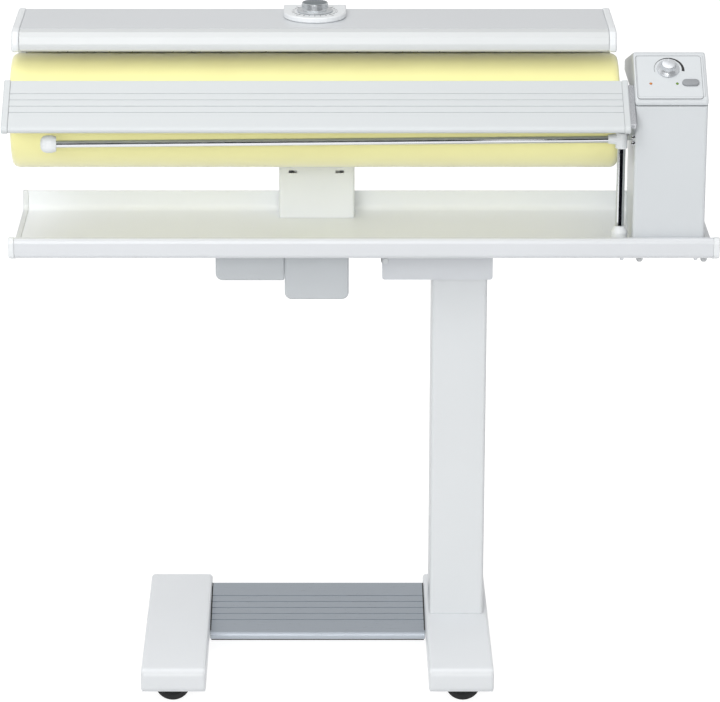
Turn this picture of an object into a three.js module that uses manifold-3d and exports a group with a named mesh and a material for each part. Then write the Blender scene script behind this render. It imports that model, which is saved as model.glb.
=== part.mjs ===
// Rotary flatwork ironer: a cloth-covered roller under a heated shoe, on a folding
// pedestal with a treadle. Millimetres, +Z up, +X to the control side, the operator
// stands at -Y. The origin is on the floor under the middle of the machine.
import * as THREE from 'three';
import { mergeVertices } from 'three/addons/utils/BufferGeometryUtils.js';
import Module from 'manifold-3d';

const wasm = await Module();
wasm.setup();

// ---- Driving dimensions -------------------------------------------------------
const gap = 0.3;                 // between pieces that rest on each other
const running = 0.3;             // radial play of a turning pin in its hole

// feet and casters
const footLength = 385;
const footWidth = 92;
const footTop = 58;
const footBottom = 21;
const footWall = 3;
const footRound = 4;
const leftFootX = -268;          // middle of each foot
const rightFootX = 143;
const footNoseRadius = 11;
const wheelRadius = 25;
const wheelDisc = 6;             // width of one disc of a twin wheel
const wheelGap = 10;             // between the two discs
const wheelHub = 5;
const wheelSides = 20;
const casterTrail = 8;
const casterInset = 39;          // stem axis to the end of the foot
const casterSpan = 2 * wheelDisc + wheelGap;
const stemRadius = 4;
const stemBoss = 8;              // radius of the boss round a stem
const bossDrop = 4;              // boss below the foot's ceiling
const stemCover = 1.5;           // metal left over a stem's hole
const forkWall = 4;
const wheelChamfer = 2;
const casterHeadClear = 1;

// crossmember and treadle
const crossDepth = 30;
const crossBottom = 14;
const crossTop = 33;
const crossY = 122.5;
const crossWall = 2;
const treadleRearY = 155.5;
const treadleRearZ = footTop - 3;
const treadleDepth = 140;
const treadleSlope = 11;         // degrees down towards the operator
const treadleThickness = 6;
const treadleEndGap = 0.8;
const treadleFlat = 35;          // smooth stretch behind the grooves
const treadleGrooves = 5;
const treadleGroovePitch = 16.5;
const treadleGrooveWidth = 2.2;
const treadleGrooveDepth = 0.9;
const treadleNose = 6.5;         // radius of the bead along the front edge
const hingePin = 4;
const earWidth = 12;             // lugs that carry the hinge pins
const earWall = 3;
const pinRoot = 20;              // pin inside the treadle's lug
const webStep = 3;               // slope between the plate and its front bead
const switchSize = [30, 13, 15];
const switchDrop = 2;            // switch below the crossmember's top

// column and fold pivot
const columnWidth = 79;
const columnDepth = 90;
const columnX = rightFootX - 1;
const columnY = 67.5;
const columnWall = 2.5;
const columnRound = 5;
const bracketTop = 628;          // height of the stand
const bracketHeight = 52;
const bracketBottom = bracketTop - bracketHeight;
const bracketWall = 3;
const bracketReach = 7;          // walls stand this far outside the column
const bracketRound = 4;
const bracketMouth = 15;         // cut-away of the top wall at the pivot
const seatReach = 20;            // bracket's thick stretch, beyond the column
const seatRise = 12;             // and above the bracket's lower edge
const pivotReach = 107;          // pivot axis beside the column's middle
const pivotDrop = 24;            // and below the bracket's top
const pivotX = columnX - pivotReach;
const pivotZ = bracketTop - pivotDrop;
const bracketLeft = pivotX - 5;
const bracketRight = columnX + columnWidth / 2 + bracketReach;
const pivotPin = 4;
const pivotLug = 6.5;
const lugThickness = 8;
const pinProud = 1;
const lockDrop = 1;              // tip of the released pin below the bracket's top
const lockX = pivotX + 31;
const lockPin = 4;
const lockKnob = 11;
const lockKnobHeight = 10;
const lockLength = 46;

// tray
const trayLeft = -491;
const trayLength = 986;
const trayCap = 8;
const trayFront = -142.5;
const trayDepth = 276;
const trayFloor = bracketTop + 20;
const traySheet = 3;
const lipTop = trayFloor + 35;
const lipBottom = trayFloor + 6;
const lipDepth = 14;
const trayFrontFillet = 25;
const trayRearFillet = 8;
const beadWidth = 0.8;           // fine lines that bound the free floor of the tray
const beadDepth = 0.4;
const beadAway = 0.6;
const upstandTop = trayFloor + 28;
const capGrow = 0.8;

// roller
const rollerY = trayFront + 128;
const rollerZ = trayFloor + 186;
const rollerLeft = trayLeft + 5;
const rollerLength = 840;
const rollerRadius = 80;
const clothThickness = 6;
const drumWall = 3;
const drumRecess = 9;
const shaftRadius = 10;
const shaftReach = 94;           // shaft beyond the roller's driven end
const drumHole = 8;
const drumInset = 2;             // drum shorter than its cover at each end
const drumFlange = 4;
const shaftCollar = 8;
const collarWidth = 6;
const clothRound = 7;
const clothOver = 3;             // padding beyond the drum's ends

// heated shoe, its cover and its arm
const shoeGap = 3.6;             // shoe to roller when it is pressed down
const shoeTravel = 20;
const shoeThickness = 9.9;
const shoeFrontY = rollerY - 40;
const shoeRearAngle = 2;         // degrees above the level of the shoe's centre
const coverRise = 11;            // cover's top over the back of the shoe
const coverTop = rollerZ + shoeTravel + rollerRadius + shoeGap + shoeThickness + coverRise;
const coverCrease = 22;          // crease behind the nose
const coverNoseY = rollerY - 53;
const coverRearY = rollerY + 104;
const coverSkirt = coverTop - 90.5;
const coverRearRound = 14;
const coverSheet = 2.5;
const noseBottom = coverTop - 29;
const noseSheet = 2.5;
const coverCap = 11;
const capProud = 1.2;
const coverInset = 2;            // shoe ends inside the end caps
const coverShort = 2;            // cover shorter than the roller
const webInset = 30;             // end webs from the ends of the cover
const webSpread = 150;           // middle webs from the arm
const webWidth = 3;
const webFoot = 60;              // over the shoe's centre
const noseDrop = 17.5;           // height of the nose's upper curve
const noseRound = 8;
const armWidth = 70;
const armX = -63.5;
const armY = coverRearY + 14;
const armDepth = 24;
const armBottom = bracketTop - 27;
const armSlotUp = 14;            // crank slot above the arm's foot
const armTop = coverTop - 33.5;
const armHead = 26;
const armHeadFront = rollerY + 57;       // head of the arm on the shoe's back
const armWall = 3;               // in front of and behind the crank's slot
const armPlay = 1;               // round the arm where it passes the tray
const armCoverWidth = 109;
const armCoverDepth = 36;
const armCoverFront = armY - armCoverDepth / 2;
const armCoverRear = armY + armCoverDepth / 2;
const armCoverTop = trayFloor + 194;
const armCoverWall = 2.5;
const ventAt = [-34.3, 32.9];    // vents in the arm cover, from the arm's middle
const ventWidth = 12;
const ventHeight = 4.2;
const ventRise = 69;             // over the tray's floor
const crankRadius = 15;
const crankPin = 4;
const crankThickness = 6;
const crankSide = 4;             // metal round the crank's two axes
const crankShaft = 6;
const crankSeat = 14;            // crank shaft inside its gearbox
const crankSlot = 12;            // depth of the slot in the arm
const crankClear = 0.7;          // pin in its slot, up and down
const crankOffset = 13;          // crank axis in front of the arm's middle

// carrier and covers under the tray
const carrierWall = 3;
const ribInset = 2;              // ribs from the carrier's ends
const coverRib = 6;              // ribs beside the gear cover
const lockRib = 16;              // rib beside the lock pin
const gearCoverWidth = 91;
const gearCoverDepth = 67;
const gearCover = [armX - gearCoverWidth / 2, armX + gearCoverWidth / 2];
const gearCoverBottom = bracketTop - gearCoverDepth;
const motorCoverWidth = 97.7;
const motorCoverDepth = 39;
const motorCover = [gearCover[0] - gap - motorCoverWidth, gearCover[0] - gap];
const motorCoverBottom = bracketTop - motorCoverDepth;
const coverFront = trayFront + 110.5;
const coverRear = armCoverRear + 3.5;
const carrierLeft = motorCover[0] - 10;
const carrierFront = coverFront - 5;
const carrierRear = coverRear + 1;
const coverRound = 10;
const coverRim = 3;
const coverWall = 2.5;
const gearboxLength = 34;
const gearboxDepth = 48;
const liftMotorLength = 46;
const liftMotorRadius = 16;
const liftMotorRise = 4;         // motor axis above and in front of the crank's
const liftMotorForward = 6;

// temperature dial
const dialX = armX - 2.5;
const dialY = coverRearY - 62.5;
const dialRadius = 44;
const dialHeight = 8;
const dialRearY = coverRearY - 19.5;
const dialSkirt = 25.5;
const dialSkirtHeight = 3;
const dialKnob = 18.5;
const dialKnobHeight = 10;
const spindleRadius = 3;
const spindleHole = 4;
const spindleSeat = 8;           // spindle's hole in the thermostat
const thermostatRadius = 14;

// feeding board
const boardLeft = rollerLeft;
const boardRight = rollerLeft + rollerLength + 4;
const boardRear = [rollerY - 70, rollerZ + 59.5];
const boardFront = [rollerY - 149, rollerZ + 11];
const boardThickness = 11;
const boardWall = 2.5;
const boardGrooves = 4;
const boardFlat = 24;            // smooth stretch behind the grooves
const boardPitch = 12;
const boardGrooveWidth = 1.6;
const boardGrooveDepth = 1;
const boardCapLeft = 9;
const boardCapRight = 8.5;
const boardArm = { rear: 6, front: 12, skin: 2, foot: [30, 40], drop: 56, heel: [44, 20] };

// laundry rail
const railX = rollerLeft + rollerLength + 4;
const railY = rollerY - rollerRadius - 14;
const railZ = rollerZ - 17;
const railRadius = 5;
const postRadius = 6;
const railLeftEnd = rollerLeft + 42;
const railRestSwing = 2;         // degrees out from the roller
const railCapRadius = 12.2;
const railCapLength = 22;
const teeRadius = 8.4;
const teeHeight = 25;
const teeReach = 19;
const domeRadius = 11.5;
const domeHeight = 45;
const domeShoulder = 9;
const domeRim = 2;
const postSeat = 12;             // post inside its socket
const postProud = 4;             // post above the connector
const railSeat = 4;              // closed end of the rail's cap
const teeWall = 1.2;
const teeStep = 3;

// drive side housing
const housingWidth = 100.5;
const housingLeft = rollerLeft + rollerLength + 20.5;
const housingRight = housingLeft + housingWidth;
const housingTaper = 9;
const housingFront = rollerY - 112;
const housingRear = housingFront + 219;
const housingTop = trayFloor + 220;
const housingWall = 2.5;
const housingRound = 5;
const headFrontLip = 10;
const ridgeY = housingFront + 69;
const ridgeZ = housingTop + 60;
const headRearY = housingRear - 15;
const headRearZ = housingTop + 18;
const panelMargin = 4;
const panelHead = 6.5;           // panel's edge below the ridge
const panelThickness = 2;
const headWall = 3.5;
const headCorner = 4.5;
const shaftPlay = 4;             // round the shaft in the housing's wall
const through = 12;              // reach of the cuts through the sloping face

// drive
const blockWidth = 40;
const blockDepth = 44;
const blockX = housingLeft + 33.5;
const blockTop = housingTop - 6;
const blockWeb = { side: 9, low: 12, underShaft: 26 };
const motorY = rollerY + 56.5;
const motorZ = trayFloor + 52;
const motorRadius = 30;
const motorLength = 50;
const motorX = housingLeft + 11.5;
const motorShaft = 5;
const motorSeat = 28;            // pulley shaft inside the motor
const motorNose = 6;
const motorFoot = 22;            // half width of the motor's foot
const pulleyX = housingLeft + 62.5;
const pulleyWidth = 11;
const rollerPulley = 38;
const motorPulley = 12;
const beltThickness = 2.5;
const beltInset = 1;

// controls on the sloping panel, measured up the slope and across from its middle
const speedKnob = { across: -3, up: 54, skirt: 15.5, cap: 9.5, skirtHeight: 5, height: 12,
  stem: 3, hole: 3.5, seat: 8 };
const powerButton = { across: 27, up: 29, length: 23, width: 11, proud: 3,
  seat: 6, travel: 2 };
const heatLamp = { across: -28, up: 28, radius: 1.9, hole: 2.2, proud: 0.8 };
const readyLamp = { across: 8.5, up: 28, radius: 1.9, hole: 2.2, proud: 0.8 };

// ---- Materials ----------------------------------------------------------------
function material(color, roughness, metalness) {
  return new THREE.MeshStandardMaterial({ color, roughness, metalness });
}
const white = material(0xe9ebec, 0.45, 0);
const silver = material(0xc4c8cb, 0.35, 0.4);
const greyPaint = material(0xbcc1c5, 0.5, 0);
const aluminium = material(0xd2d5d8, 0.35, 0.8);
const anodised = material(0x96a0aa, 0.35, 0.7);
const steel = material(0x9a9da0, 0.4, 0.9);
const chrome = material(0xd9dcdf, 0.1, 1);
const cloth = material(0xfdf5b4, 0.95, 0);
const black = material(0x1c1d1f, 0.6, 0);
const rubber = material(0x2a2a2b, 0.85, 0);
const greyPlastic = material(0x9b9fa3, 0.5, 0);
const orange = material(0xe08a2c, 0.3, 0);
const green = material(0x86b43a, 0.3, 0);

// ---- Shape helpers ------------------------------------------------------------
const rad = THREE.MathUtils.degToRad;
const arcSteps = 3;             // half the facets of a quarter turn

function solid(geometry) {
  const bare = geometry.clone();
  bare.deleteAttribute('normal');
  bare.deleteAttribute('uv');
  const merged = mergeVertices(bare, 1e-4);
  return new wasm.Manifold(new wasm.Mesh({
    numProp: 3,
    vertProperties: new Float32Array(merged.attributes.position.array),
    triVerts: new Uint32Array(merged.index.array),
  }));
}

function geometryOf(body) {
  const mesh = body.getMesh();
  const geometry = new THREE.BufferGeometry();
  geometry.setAttribute('position', new THREE.BufferAttribute(mesh.vertProperties, 3));
  geometry.setIndex(new THREE.BufferAttribute(mesh.triVerts, 1));
  geometry.computeVertexNormals();
  return geometry;
}

function joined(...geometries) {
  return geometries.map(solid).reduce((sum, next) => sum.add(next));
}

function cut(body, ...geometries) {
  return geometries.map(solid).reduce((rest, next) => rest.subtract(next), body);
}

function block(x, y, z) {
  const box = new THREE.BoxGeometry(x[1] - x[0], y[1] - y[0], z[1] - z[0]);
  return box.translate((x[0] + x[1]) / 2, (y[0] + y[1]) / 2, (z[0] + z[1]) / 2);
}

// a round bar from one point to another
function rod(from, to, radius, sides = 16, endRadius = radius) {
  const start = new THREE.Vector3(...from);
  const along = new THREE.Vector3(...to).sub(start);
  const bar = new THREE.CylinderGeometry(endRadius, radius, along.length(), sides);
  const turn = new THREE.Quaternion().setFromUnitVectors(
    new THREE.Vector3(0, 1, 0), along.clone().normalize());
  bar.translate(0, along.length() / 2, 0);
  return bar.applyQuaternion(turn).translate(...from);
}

// a rectangle with its four corners rounded, as (left, right, low, high, radius)
function roundedRect(left, right, low, high, radius, topRadius = radius, lowRight = radius) {
  const shape = new THREE.Shape();
  shape.moveTo(left + radius, low);
  shape.lineTo(right - lowRight, low);
  shape.absarc(right - lowRight, low + lowRight, lowRight, -Math.PI / 2, 0, false);
  shape.lineTo(right, high - topRadius);
  shape.absarc(right - topRadius, high - topRadius, topRadius, 0, Math.PI / 2, false);
  shape.lineTo(left + topRadius, high);
  shape.absarc(left + topRadius, high - topRadius, topRadius, Math.PI / 2, Math.PI, false);
  shape.lineTo(left, low + radius);
  shape.absarc(left + radius, low + radius, radius, Math.PI, 1.5 * Math.PI, false);
  return shape;
}

function polygon(points) {
  return new THREE.Shape(points.map(([a, b]) => new THREE.Vector2(a, b)));
}

const axesFor = {
  x: [[0, 1, 0], [0, 0, 1], [1, 0, 0]],    // outline in (y, z), pushed along +X
  y: [[1, 0, 0], [0, 0, 1], [0, -1, 0]],   // outline in (x, z), pushed along -Y
  z: [[1, 0, 0], [0, 1, 0], [0, 0, 1]],    // outline in (x, y), pushed along +Z
};

// pushes an outline from low to high along an axis; round gives its end edges a radius
function push(axis, shape, low, high, round = 0, steps = arcSteps) {
  const options = {
    depth: high - low - 2 * round,
    curveSegments: steps,
    bevelEnabled: round > 0,
    bevelThickness: round,
    bevelSize: round,
    bevelOffset: -round,
    bevelSegments: round > 2 ? 2 : 1,
  };
  const form = new THREE.ExtrudeGeometry(shape, options).translate(0, 0, round);
  const [across, up, along] = axesFor[axis].map((v) => new THREE.Vector3(...v));
  form.applyMatrix4(new THREE.Matrix4().makeBasis(across, up, along));
  const start = axis === 'y' ? high : low;
  return form.translate(...{ x: [start, 0, 0], y: [0, start, 0], z: [0, 0, start] }[axis]);
}

// a turned piece: profile points are (radius, distance along the axis)
function turned(profile, sides) {
  return new THREE.LatheGeometry(profile.map(([r, z]) => new THREE.Vector2(r, z)), sides);
}

const ironer = new THREE.Group();

function piece(name, shape, look, parent = ironer) {
  const geometry = shape.getMesh ? geometryOf(shape) : shape;
  const mesh = new THREE.Mesh(geometry, look);
  mesh.name = name;
  parent.add(mesh);
  return mesh;
}

// ---- Base: two feet on casters, joined by a crossmember -------------------------
const footEnd = footLength / 2;
const stemY = footEnd - casterInset;
const footCeiling = footTop - footWall;
const treadleLeft = leftFootX + footWidth / 2 + treadleEndGap;
const treadleRight = rightFootX - footWidth / 2 - treadleEndGap;
const hingeY = treadleRearY - treadleThickness / 2 - hingePin;
const hingeZ = treadleRearZ - treadleThickness / 2 - hingePin;

function footShape() {
  return roundedRect(-footEnd, footEnd, footBottom, footTop, footNoseRadius);
}

// a downward-open shell; the inner side is the one that carries the crossmember
function foot(middle, innerSide, casterShift) {
  const edge = footWidth / 2;
  const outer = push('x', footShape(), middle - edge, middle + edge, footRound);
  const inside = push('x', roundedRect(
    -footEnd + footWall, footEnd - footWall, footBottom - footNoseRadius, footCeiling,
    footNoseRadius - footWall,
  ), middle - edge + footWall, middle + edge - footWall);
  let shell = cut(solid(outer), inside);
  for (const end of [-1, 1]) {
    const stem = [middle + casterShift, end * stemY];
    const boss = rod([...stem, footCeiling - bossDrop], [...stem, footTop - stemCover / 2],
      stemBoss);
    const hole = rod([...stem, 0], [...stem, footTop - stemCover], stemRadius + running);
    shell = cut(shell.add(solid(boss)), hole);
  }
  const wall = middle + innerSide * edge;
  const pinHole = rod([wall - 2 * footWall, hingeY, hingeZ], [wall + 2 * footWall, hingeY, hingeZ],
    hingePin + running);
  return cut(shell, pinHole);
}
const leftStemShift = 6;
const rightStemShift = -5;
piece('left_foot', foot(leftFootX, 1, leftStemShift), white);
piece('right_foot', foot(rightFootX, -1, rightStemShift), white);

// twin-wheel casters, drawn with their axles along Y so that a disc faces the front
function casterWheel() {
  const half = casterSpan / 2;
  const side = wheelRadius / Math.cos(Math.PI / wheelSides);
  const profile = [
    [0, -half], [side - wheelChamfer, -half], [side, wheelChamfer - half], [side, -wheelGap / 2],
    [wheelHub, -wheelGap / 2], [wheelHub, wheelGap / 2],
    [side, wheelGap / 2], [side, half - wheelChamfer], [side - wheelChamfer, half], [0, half],
  ];
  // a flat facet of the tread is turned to the floor
  return turned(profile, wheelSides).rotateY(Math.PI / wheelSides);
}

function casterFork(direction) {
  const half = wheelGap / 2 - gap;
  const top = footCeiling - bossDrop - casterHeadClear;
  const web = push('y', roundedRect(-wheelHub - forkWall, casterTrail + stemRadius,
    wheelRadius - wheelHub - forkWall, top, 3), -half, half);
  const stem = rod([casterTrail, 0, top - forkWall], [casterTrail, 0, footTop - stemCover - gap],
    stemRadius);
  const axle = rod([0, -casterSpan, wheelRadius], [0, casterSpan, wheelRadius], wheelHub + running);
  const fork = cut(joined(web, stem), axle);
  return direction > 0 ? fork : fork.mirror([1, 0, 0]);
}

function caster(name, middle, shift, end) {
  const toStem = Math.sign(shift);
  const group = new THREE.Group();
  group.position.set(middle + shift - toStem * casterTrail, end * stemY, 0);
  ironer.add(group);
  piece(`${name}_caster_fork`, casterFork(toStem), black, group);
  const wheel = piece(`${name}_caster_wheel`, casterWheel(), rubber, group);
  wheel.position.z = wheelRadius;
}
caster('front_left', leftFootX, leftStemShift, -1);
caster('rear_left', leftFootX, leftStemShift, 1);
caster('front_right', rightFootX, rightStemShift, -1);
caster('rear_right', rightFootX, rightStemShift, 1);

const innerWallLeft = leftFootX + footWidth / 2;
const innerWallRight = rightFootX - footWidth / 2;
const crossRange = [crossY - crossDepth / 2, crossY + crossDepth / 2];
const crossTube = push('x', roundedRect(...crossRange, crossBottom, crossTop, 3),
  innerWallLeft + gap, innerWallRight - gap);
const crossBore = push('x', roundedRect(crossRange[0] + crossWall, crossRange[1] - crossWall,
  crossBottom + crossWall, crossTop - crossWall, 1), innerWallLeft, innerWallRight);
piece('base_crossmember', cut(solid(crossTube), crossBore), greyPaint);

// ---- Treadle: a grooved extrusion hinged along its rear edge ----------------------
// its outline is drawn along the slope: (distance in front of the rear edge, height)
function treadle() {
  const slope = rad(treadleSlope);
  const at = (forward, up) => [
    treadleRearY - forward * Math.cos(slope) - up * Math.sin(slope),
    treadleRearZ - forward * Math.sin(slope) + up * Math.cos(slope),
  ];
  const outline = [at(0, -treadleThickness), at(0, 0)];
  for (let i = 0; i < treadleGrooves; i += 1) {
    const near = treadleFlat + i * treadleGroovePitch;
    const far = near + treadleGrooveWidth;
    outline.push(at(near, 0), at(near, -treadleGrooveDepth));
    outline.push(at(far, -treadleGrooveDepth), at(far, 0));
  }
  const noseCentre = treadleDepth - treadleNose;
  for (let i = 0; i <= 8; i += 1) {
    const turn = Math.PI / 2 - i * Math.PI / 8;
    outline.push(at(noseCentre + treadleNose * Math.cos(turn), treadleNose * (Math.sin(turn) - 1)));
  }
  outline.push(at(noseCentre - treadleNose, -2 * treadleNose));
  outline.push(at(noseCentre - treadleNose - webStep, -treadleThickness));
  const plate = push('x', polygon(outline), treadleLeft, treadleRight);
  const pins = [
    rod([innerWallLeft - footWall, hingeY, hingeZ], [treadleLeft + pinRoot, hingeY, hingeZ], hingePin),
    rod([treadleRight - pinRoot, hingeY, hingeZ], [innerWallRight + footWall, hingeY, hingeZ], hingePin),
  ];
  const ear = (left) => block([left, left + earWidth],
    [hingeY - hingePin - earWall, treadleRearY - gap],
    [hingeZ - hingePin - earWall / 2, hingeZ + hingePin]);
  return joined(plate, ...pins, ear(treadleLeft), ear(treadleRight - earWidth));
}
piece('foot_treadle', treadle(), anodised);

const switchFront = crossRange[0] - gap - switchSize[1];
const switchLow = crossTop - switchSize[2] - switchDrop;
const treadleMiddle = (treadleLeft + treadleRight) / 2;
piece('treadle_switch', block(
  [treadleMiddle - switchSize[0] / 2, treadleMiddle + switchSize[0] / 2],
  [switchFront, crossRange[0] - gap], [switchLow, switchLow + switchSize[2]],
), black);

// ---- Column and fold pivot --------------------------------------------------------
const columnFront = columnY - columnDepth / 2;
const columnBack = columnY + columnDepth / 2;
const columnLeft = columnX - columnWidth / 2;
const columnRightX = columnX + columnWidth / 2;
const columnTop = bracketTop - bracketWall - gap;
const columnTube = push('z', roundedRect(columnLeft, columnRightX, columnFront, columnBack,
  columnRound), footTop + gap, columnTop);
const columnBore = push('z', roundedRect(columnLeft + columnWall, columnRightX - columnWall,
  columnFront + columnWall, columnBack - columnWall, columnRound - columnWall), 0, columnTop + 1);
piece('column', cut(solid(columnTube), columnBore), white);

// a cap over the column's top, whose side walls run out to the left to hold the pin
const bracketFront = columnFront - bracketReach;
const bracketBack = columnBack + bracketReach;
const pivotAt = (y) => [pivotX, y, pivotZ];
function pivotBracket() {
  const outer = push('y', roundedRect(bracketLeft, bracketRight, bracketBottom, bracketTop,
    bracketRound), bracketFront, bracketBack);
  const inside = block([bracketLeft - 1, bracketRight - bracketWall],
    [bracketFront + bracketWall, bracketBack - bracketWall],
    [bracketBottom - 1, bracketTop - bracketWall]);
  const mouth = block([bracketLeft - 1, pivotX + bracketMouth],
    [bracketFront + bracketWall, bracketBack - bracketWall], [bracketBottom, bracketTop + 1]);
  const bore = rod(pivotAt(bracketFront - 1), pivotAt(bracketBack + 1), pivotPin + gap);
  const lockHole = rod([lockX, columnY, bracketBottom], [lockX, columnY, bracketTop + 1],
    lockPin + running);
  const seats = [-1, 1].map((side) => block([columnLeft - seatReach, columnRightX],
    side < 0 ? [bracketFront + bracketWall / 2, columnFront - gap]
      : [columnBack + gap, bracketBack - bracketWall / 2],
    [bracketBottom + seatRise, bracketTop - bracketWall / 2]));
  return cut(cut(solid(outer), inside, mouth, bore, lockHole).add(joined(...seats)));
}
piece('pivot_bracket', pivotBracket(), greyPaint);
piece('fold_pivot_pin', rod(pivotAt(bracketFront - pinProud), pivotAt(bracketBack + pinProud),
  pivotPin), steel);

// pull-and-release pin that holds the unit level; drawn let go
const lockTip = bracketTop - lockDrop;
const lockFoot = lockTip - lockLength;
piece('fold_lock_pin', joined(
  rod([lockX, columnY, lockFoot], [lockX, columnY, lockTip], lockPin),
  rod([lockX, columnY, lockFoot - lockKnobHeight], [lockX, columnY, lockFoot], lockKnob, 16,
    lockKnob - 2),
), black);

// ---- Folding unit: everything above the pivot -------------------------------------
const trayRight = trayLeft + trayLength;
const trayRear = trayFront + trayDepth;

// section of the tray: rolled lip, trough with filleted corners and rear upstand
function traySection(grow = 0) {
  const inner = -grow;
  const front = trayFront - grow;
  const lipBack = trayFront + lipDepth - inner;
  const lipRound = lipDepth / 2 + grow;
  const rearOuter = trayRear + grow;
  const rearInner = trayRear - traySheet - grow;
  const floor = trayFloor + grow;
  const under = trayFloor - traySheet - grow;
  const frontCentre = [trayFront + lipDepth + trayFrontFillet, trayFloor + trayFrontFillet];
  const rearCentre = [trayRear - traySheet - trayRearFillet, trayFloor + trayRearFillet];
  const frontOuter = trayFrontFillet + traySheet + grow;
  const lipMeets = Math.asin((frontCentre[1] - lipBottom + grow) / frontOuter);
  const shape = new THREE.Shape();
  shape.moveTo(front + lipRound, lipBottom - grow);
  shape.absarc(front + lipRound, lipBottom - grow + lipRound, lipRound, -Math.PI / 2, -Math.PI, true);
  shape.absarc(front + lipRound, lipTop + grow - lipRound, lipRound, Math.PI, 0, true);
  shape.lineTo(lipBack, frontCentre[1]);
  shape.absarc(...frontCentre, trayFrontFillet - grow, Math.PI, 1.5 * Math.PI, false);
  shape.lineTo(rearCentre[0], floor);
  shape.absarc(...rearCentre, trayRearFillet - grow, -Math.PI / 2, 0, false);
  shape.lineTo(rearInner, upstandTop + grow);
  shape.lineTo(rearOuter, upstandTop + grow);
  shape.lineTo(rearOuter, rearCentre[1]);
  shape.absarc(...rearCentre, trayRearFillet + traySheet + grow, 0, -Math.PI / 2, true);
  shape.lineTo(frontCentre[0], under);
  shape.absarc(...frontCentre, frontOuter, -Math.PI / 2, -Math.PI + lipMeets, true);
  return shape;
}

// all that lies under the trough's surface, as a tool that trims what stands in it
function trayTrim() {
  const lipBack = trayFront + lipDepth + gap;
  const low = trayFloor - 60;
  const frontCentre = [trayFront + lipDepth + trayFrontFillet, trayFloor + trayFrontFillet];
  const shape = new THREE.Shape();
  shape.moveTo(trayFront, low);
  shape.lineTo(trayFront, lipTop + gap);
  shape.lineTo(lipBack, lipTop + gap);
  shape.lineTo(lipBack, frontCentre[1]);
  shape.absarc(...frontCentre, trayFrontFillet - gap, Math.PI, 1.5 * Math.PI, false);
  shape.lineTo(trayRear, trayFloor + gap);
  shape.lineTo(trayRear, low);
  return push('x', shape, trayLeft, trayRight);
}
const armSlot = [armX - armWidth / 2 - armPlay, armX + armWidth / 2 + armPlay];
const armSlotY = [armY - armDepth / 2 - armPlay, armY + armDepth / 2 + armPlay];
const trayBody = push('x', traySection(), trayLeft + trayCap + gap, trayRight - trayCap - gap);
const beadY = [trayFront + lipDepth + trayFrontFillet - 2, trayRear - traySheet - trayRearFillet + 2];
const beadZ = [trayFloor - beadDepth, trayFloor + beadDepth];
const coverSides = [armX - armCoverWidth / 2 - beadAway, armX + armCoverWidth / 2 + beadAway];
const beadFront = armCoverFront - beadAway;
const beads = [
  block([railX - domeRadius - beadAway - beadWidth, railX - domeRadius - beadAway], beadY, beadZ),
  block([coverSides[0] - beadWidth, coverSides[0]], [beadFront, beadY[1]], beadZ),
  block([coverSides[1], coverSides[1] + beadWidth], [beadFront, beadY[1]], beadZ),
  block([coverSides[0] - beadWidth, coverSides[1] + beadWidth],
    [beadFront - beadWidth, beadFront], beadZ),
];
piece('laundry_tray', cut(solid(trayBody),
  block(armSlot, armSlotY, [trayFloor - 20, trayFloor + 20]), ...beads), white);
for (const [side, x] of [['left', trayLeft], ['right', trayRight - trayCap]]) {
  piece(`tray_end_cap_${side}`, push('x', traySection(capGrow), x, x + trayCap, 1), white);
}

// steel channel under the tray with the two lugs of the fold pivot
const carrierTop = trayFloor - traySheet - gap;
const carrierBottom = bracketTop + gap;
const carrierRight = trayRight - trayCap - gap;
function unitCarrier() {
  const outer = block([carrierLeft, carrierRight], [carrierFront, carrierRear],
    [carrierBottom, carrierTop]);
  const hollow = block([carrierLeft - 1, carrierRight + 1],
    [carrierFront + carrierWall, carrierRear - carrierWall],
    [carrierBottom + carrierWall, carrierTop + 1]);
  const ribAt = [carrierLeft + ribInset, gearCover[0] - coverRib, gearCover[1] + coverRib,
    lockX + lockRib, columnRightX, housingLeft, carrierRight - carrierWall - ribInset];
  const ribs = ribAt.map((x) => block([x, x + carrierWall], [carrierFront + 1, carrierRear - 1],
    [carrierBottom + 1, carrierTop - 1]));
  const lugs = [bracketFront + bracketWall + 1, bracketBack - bracketWall - 1 - lugThickness]
    .map((y) => push('y', roundedRect(pivotX - pivotLug, pivotX + pivotLug, pivotZ - pivotLug,
      carrierBottom + 1, pivotLug - 0.5, 0.5), y, y + lugThickness));
  const lugBore = rod(pivotAt(bracketFront), pivotAt(bracketBack), pivotPin + running);
  const lockHole = rod([lockX, columnY, carrierBottom - 1], [lockX, columnY, carrierTop + 1],
    lockPin + running);
  const slot = block(armSlot, armSlotY, [carrierBottom - 1, carrierTop + 1]);
  const channel = cut(solid(outer), hollow).add(joined(...ribs));
  return cut(cut(channel, slot, lockHole).add(joined(...lugs)), lugBore);
}
piece('unit_carrier', unitCarrier(), steel);

const crankAxisY = armY - crankOffset;
const crankAxisZ = armBottom + armSlotUp - shoeTravel / 2;

// open-topped covers hung under the carrier
function underCover([left, right], bottom, rightRound = coverRound) {
  const top = carrierBottom - gap;
  const outer = push('y', roundedRect(left, right, bottom, top, coverRound, coverRim, rightRound),
    coverFront, coverRear, 2);
  const inside = push('y', roundedRect(left + coverWall, right - coverWall, bottom + coverWall,
    top + 5, coverRound - coverWall, 0.5, rightRound - coverWall), coverFront + coverWall,
  coverRear - coverWall);
  return cut(solid(outer), inside);
}
const crankBore = (left, right) => rod([left, crankAxisY, crankAxisZ],
  [right, crankAxisY, crankAxisZ], crankShaft + 2 * running);
piece('lift_motor_cover', cut(underCover(motorCover, motorCoverBottom, coverRim),
  crankBore(motorCover[1] - 2 * coverWall, motorCover[1] + 1)), greyPaint);
piece('lift_gear_cover', cut(underCover(gearCover, gearCoverBottom),
  crankBore(gearCover[0] - 1, gearCover[0] + 2 * coverWall)), greyPaint);

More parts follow.
